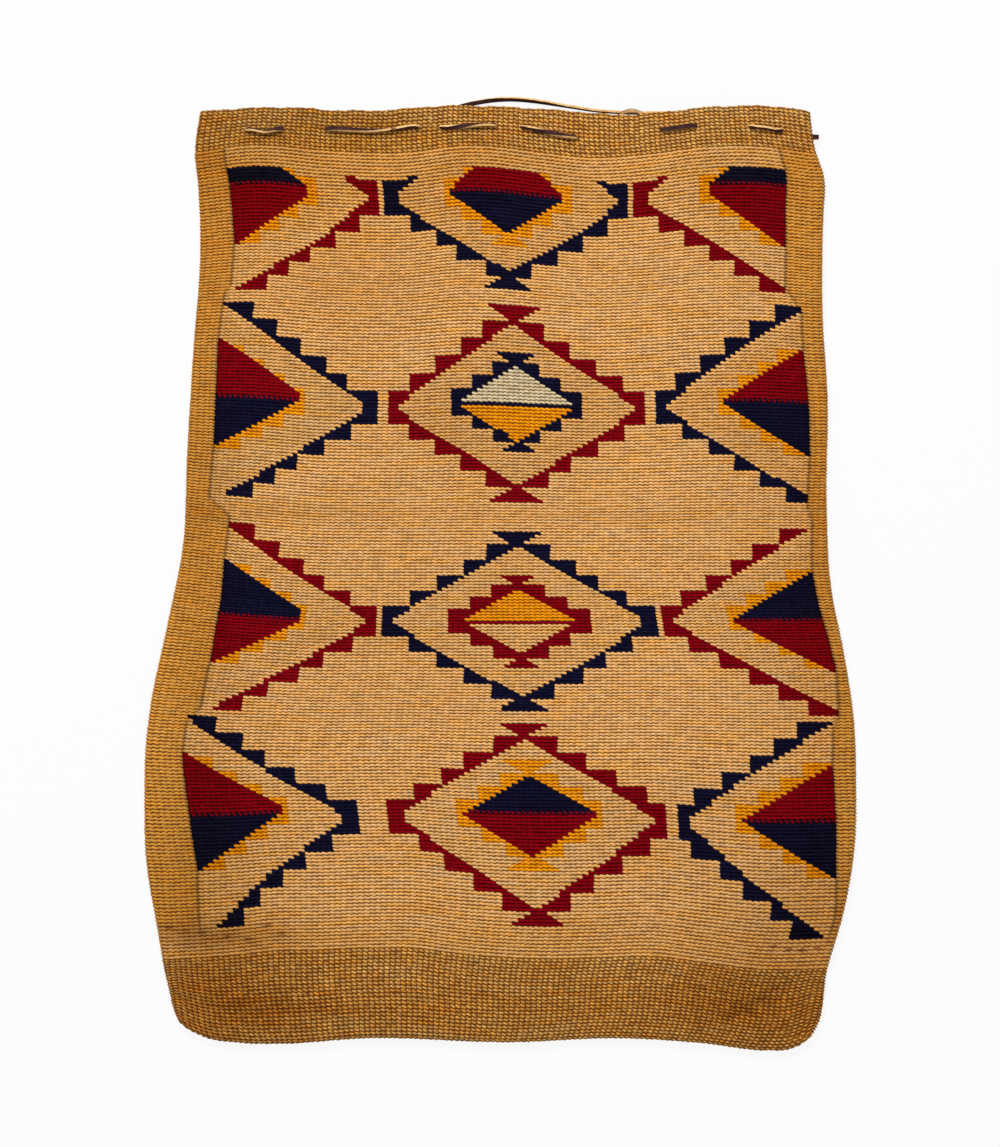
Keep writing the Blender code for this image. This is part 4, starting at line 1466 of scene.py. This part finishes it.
def leather_material(name, light, dark):
    """Dressed leather: a fine grain, uneven along the strip."""
    material, tree, shader = new_material(name, LEATHER_ROUGHNESS, LEATHER_SHINE)
    place = add_node(tree, "ShaderNodeTexCoord").outputs["Object"]
    noises = []
    for scale, detail in (PATCHES, PORES):
        sockets = {"Vector": place, "Scale": scale, "Detail": detail}
        noises.append(Number(tree, add_node(tree, "ShaderNodeTexNoise", sockets).outputs["Fac"]))
    patches, pores = noises
    share = math_of("MULTIPLY", patches - PATCH_START, PATCH_GAIN, clamp=True)
    feed(tree, shader.inputs["Base Color"], mixed(tree, share, to_linear(dark), to_linear(light)))
    add_bump(tree, shader, LEATHER_BUMP, LEATHER_DEPTH, pores)
    return material


# Floor and light

FLOOR_SIZE = 4.0
FLOOR_DROP = 0.0003
FLOOR_GREY = 0.80
FLOOR_ROUGHNESS = 0.9
# The floor's share of plain white, and the room's strength on the object, where the camera sees 1
FLOOR_GLOW = 0.90
ROOM_STRENGTH = 0.38
# Each lamp's place, size and power
LAMPS = {
    "key_lamp": ((-0.55, 1.70, 1.90), 0.9, 56.0),
    "fill_lamp": ((0.70, -1.60, 2.20), 1.6, 8.0),
}


def background_rays(tree):
    """1 on the rays that show the camera the white background, straight or by way of a shine or a glass."""
    path = add_node(tree, "ShaderNodeLightPath").outputs
    seen = math_of("MAXIMUM", Number(tree, path["Is Camera Ray"]), path["Is Glossy Ray"])
    return math_of("MAXIMUM", seen, path["Is Transmission Ray"])


def make_floor():
    """A plain white floor, which the camera sees as white and which keeps a soft shadow."""
    half = FLOOR_SIZE / 2
    mesh = bpy.data.meshes.new("floor")
    corners = [(x * half, y * half, -FLOOR_DROP) for x, y in ((-1, -1), (1, -1), (1, 1), (-1, 1))]
    mesh.from_pydata(corners, [], [(0, 1, 2, 3)])
    material, tree, shader = new_material("floor_white", FLOOR_ROUGHNESS)
    shader.inputs["Base Color"].default_value = (FLOOR_GREY, FLOOR_GREY, FLOOR_GREY, 1.0)
    glow = add_node(tree, "ShaderNodeEmission", {"Color": (1, 1, 1, 1), "Strength": 1.0}).outputs[0]
    share = background_rays(tree) * FLOOR_GLOW
    both = add_node(tree, "ShaderNodeMixShader", {0: share, 1: shader.outputs[0], 2: glow}).outputs[0]
    feed(tree, tree.nodes["Material Output"].inputs["Surface"], both)
    mesh.materials.append(material)
    floor = place_object("floor", mesh)


def make_light():
    """A soft lamp from the mouth's side, a weaker one across from it, and an even white room."""
    for name, (place, size, power) in LAMPS.items():
        data = bpy.data.lights.new(name, "AREA")
        data.size = size
        data.energy = power
        lamp = place_object(name, data)
        lamp.location = place
        lamp.rotation_euler = (-Vector(place)).to_track_quat("-Z", "Y").to_euler()
    world = bpy.data.worlds.new("room")
    bpy.context.scene.world = world
    world.use_nodes = True
    back = world.node_tree.nodes["Background"]
    back.inputs["Color"].default_value = (1.0, 1.0, 1.0, 1.0)
    strength = background_rays(world.node_tree) * (1.0 - ROOM_STRENGTH) + ROOM_STRENGTH
    feed(world.node_tree, back.inputs["Strength"], strength)


make_camera()
make_strip()
make_cloth()
make_floor()
make_light()
bpy.context.scene.view_settings.view_transform = "Standard"
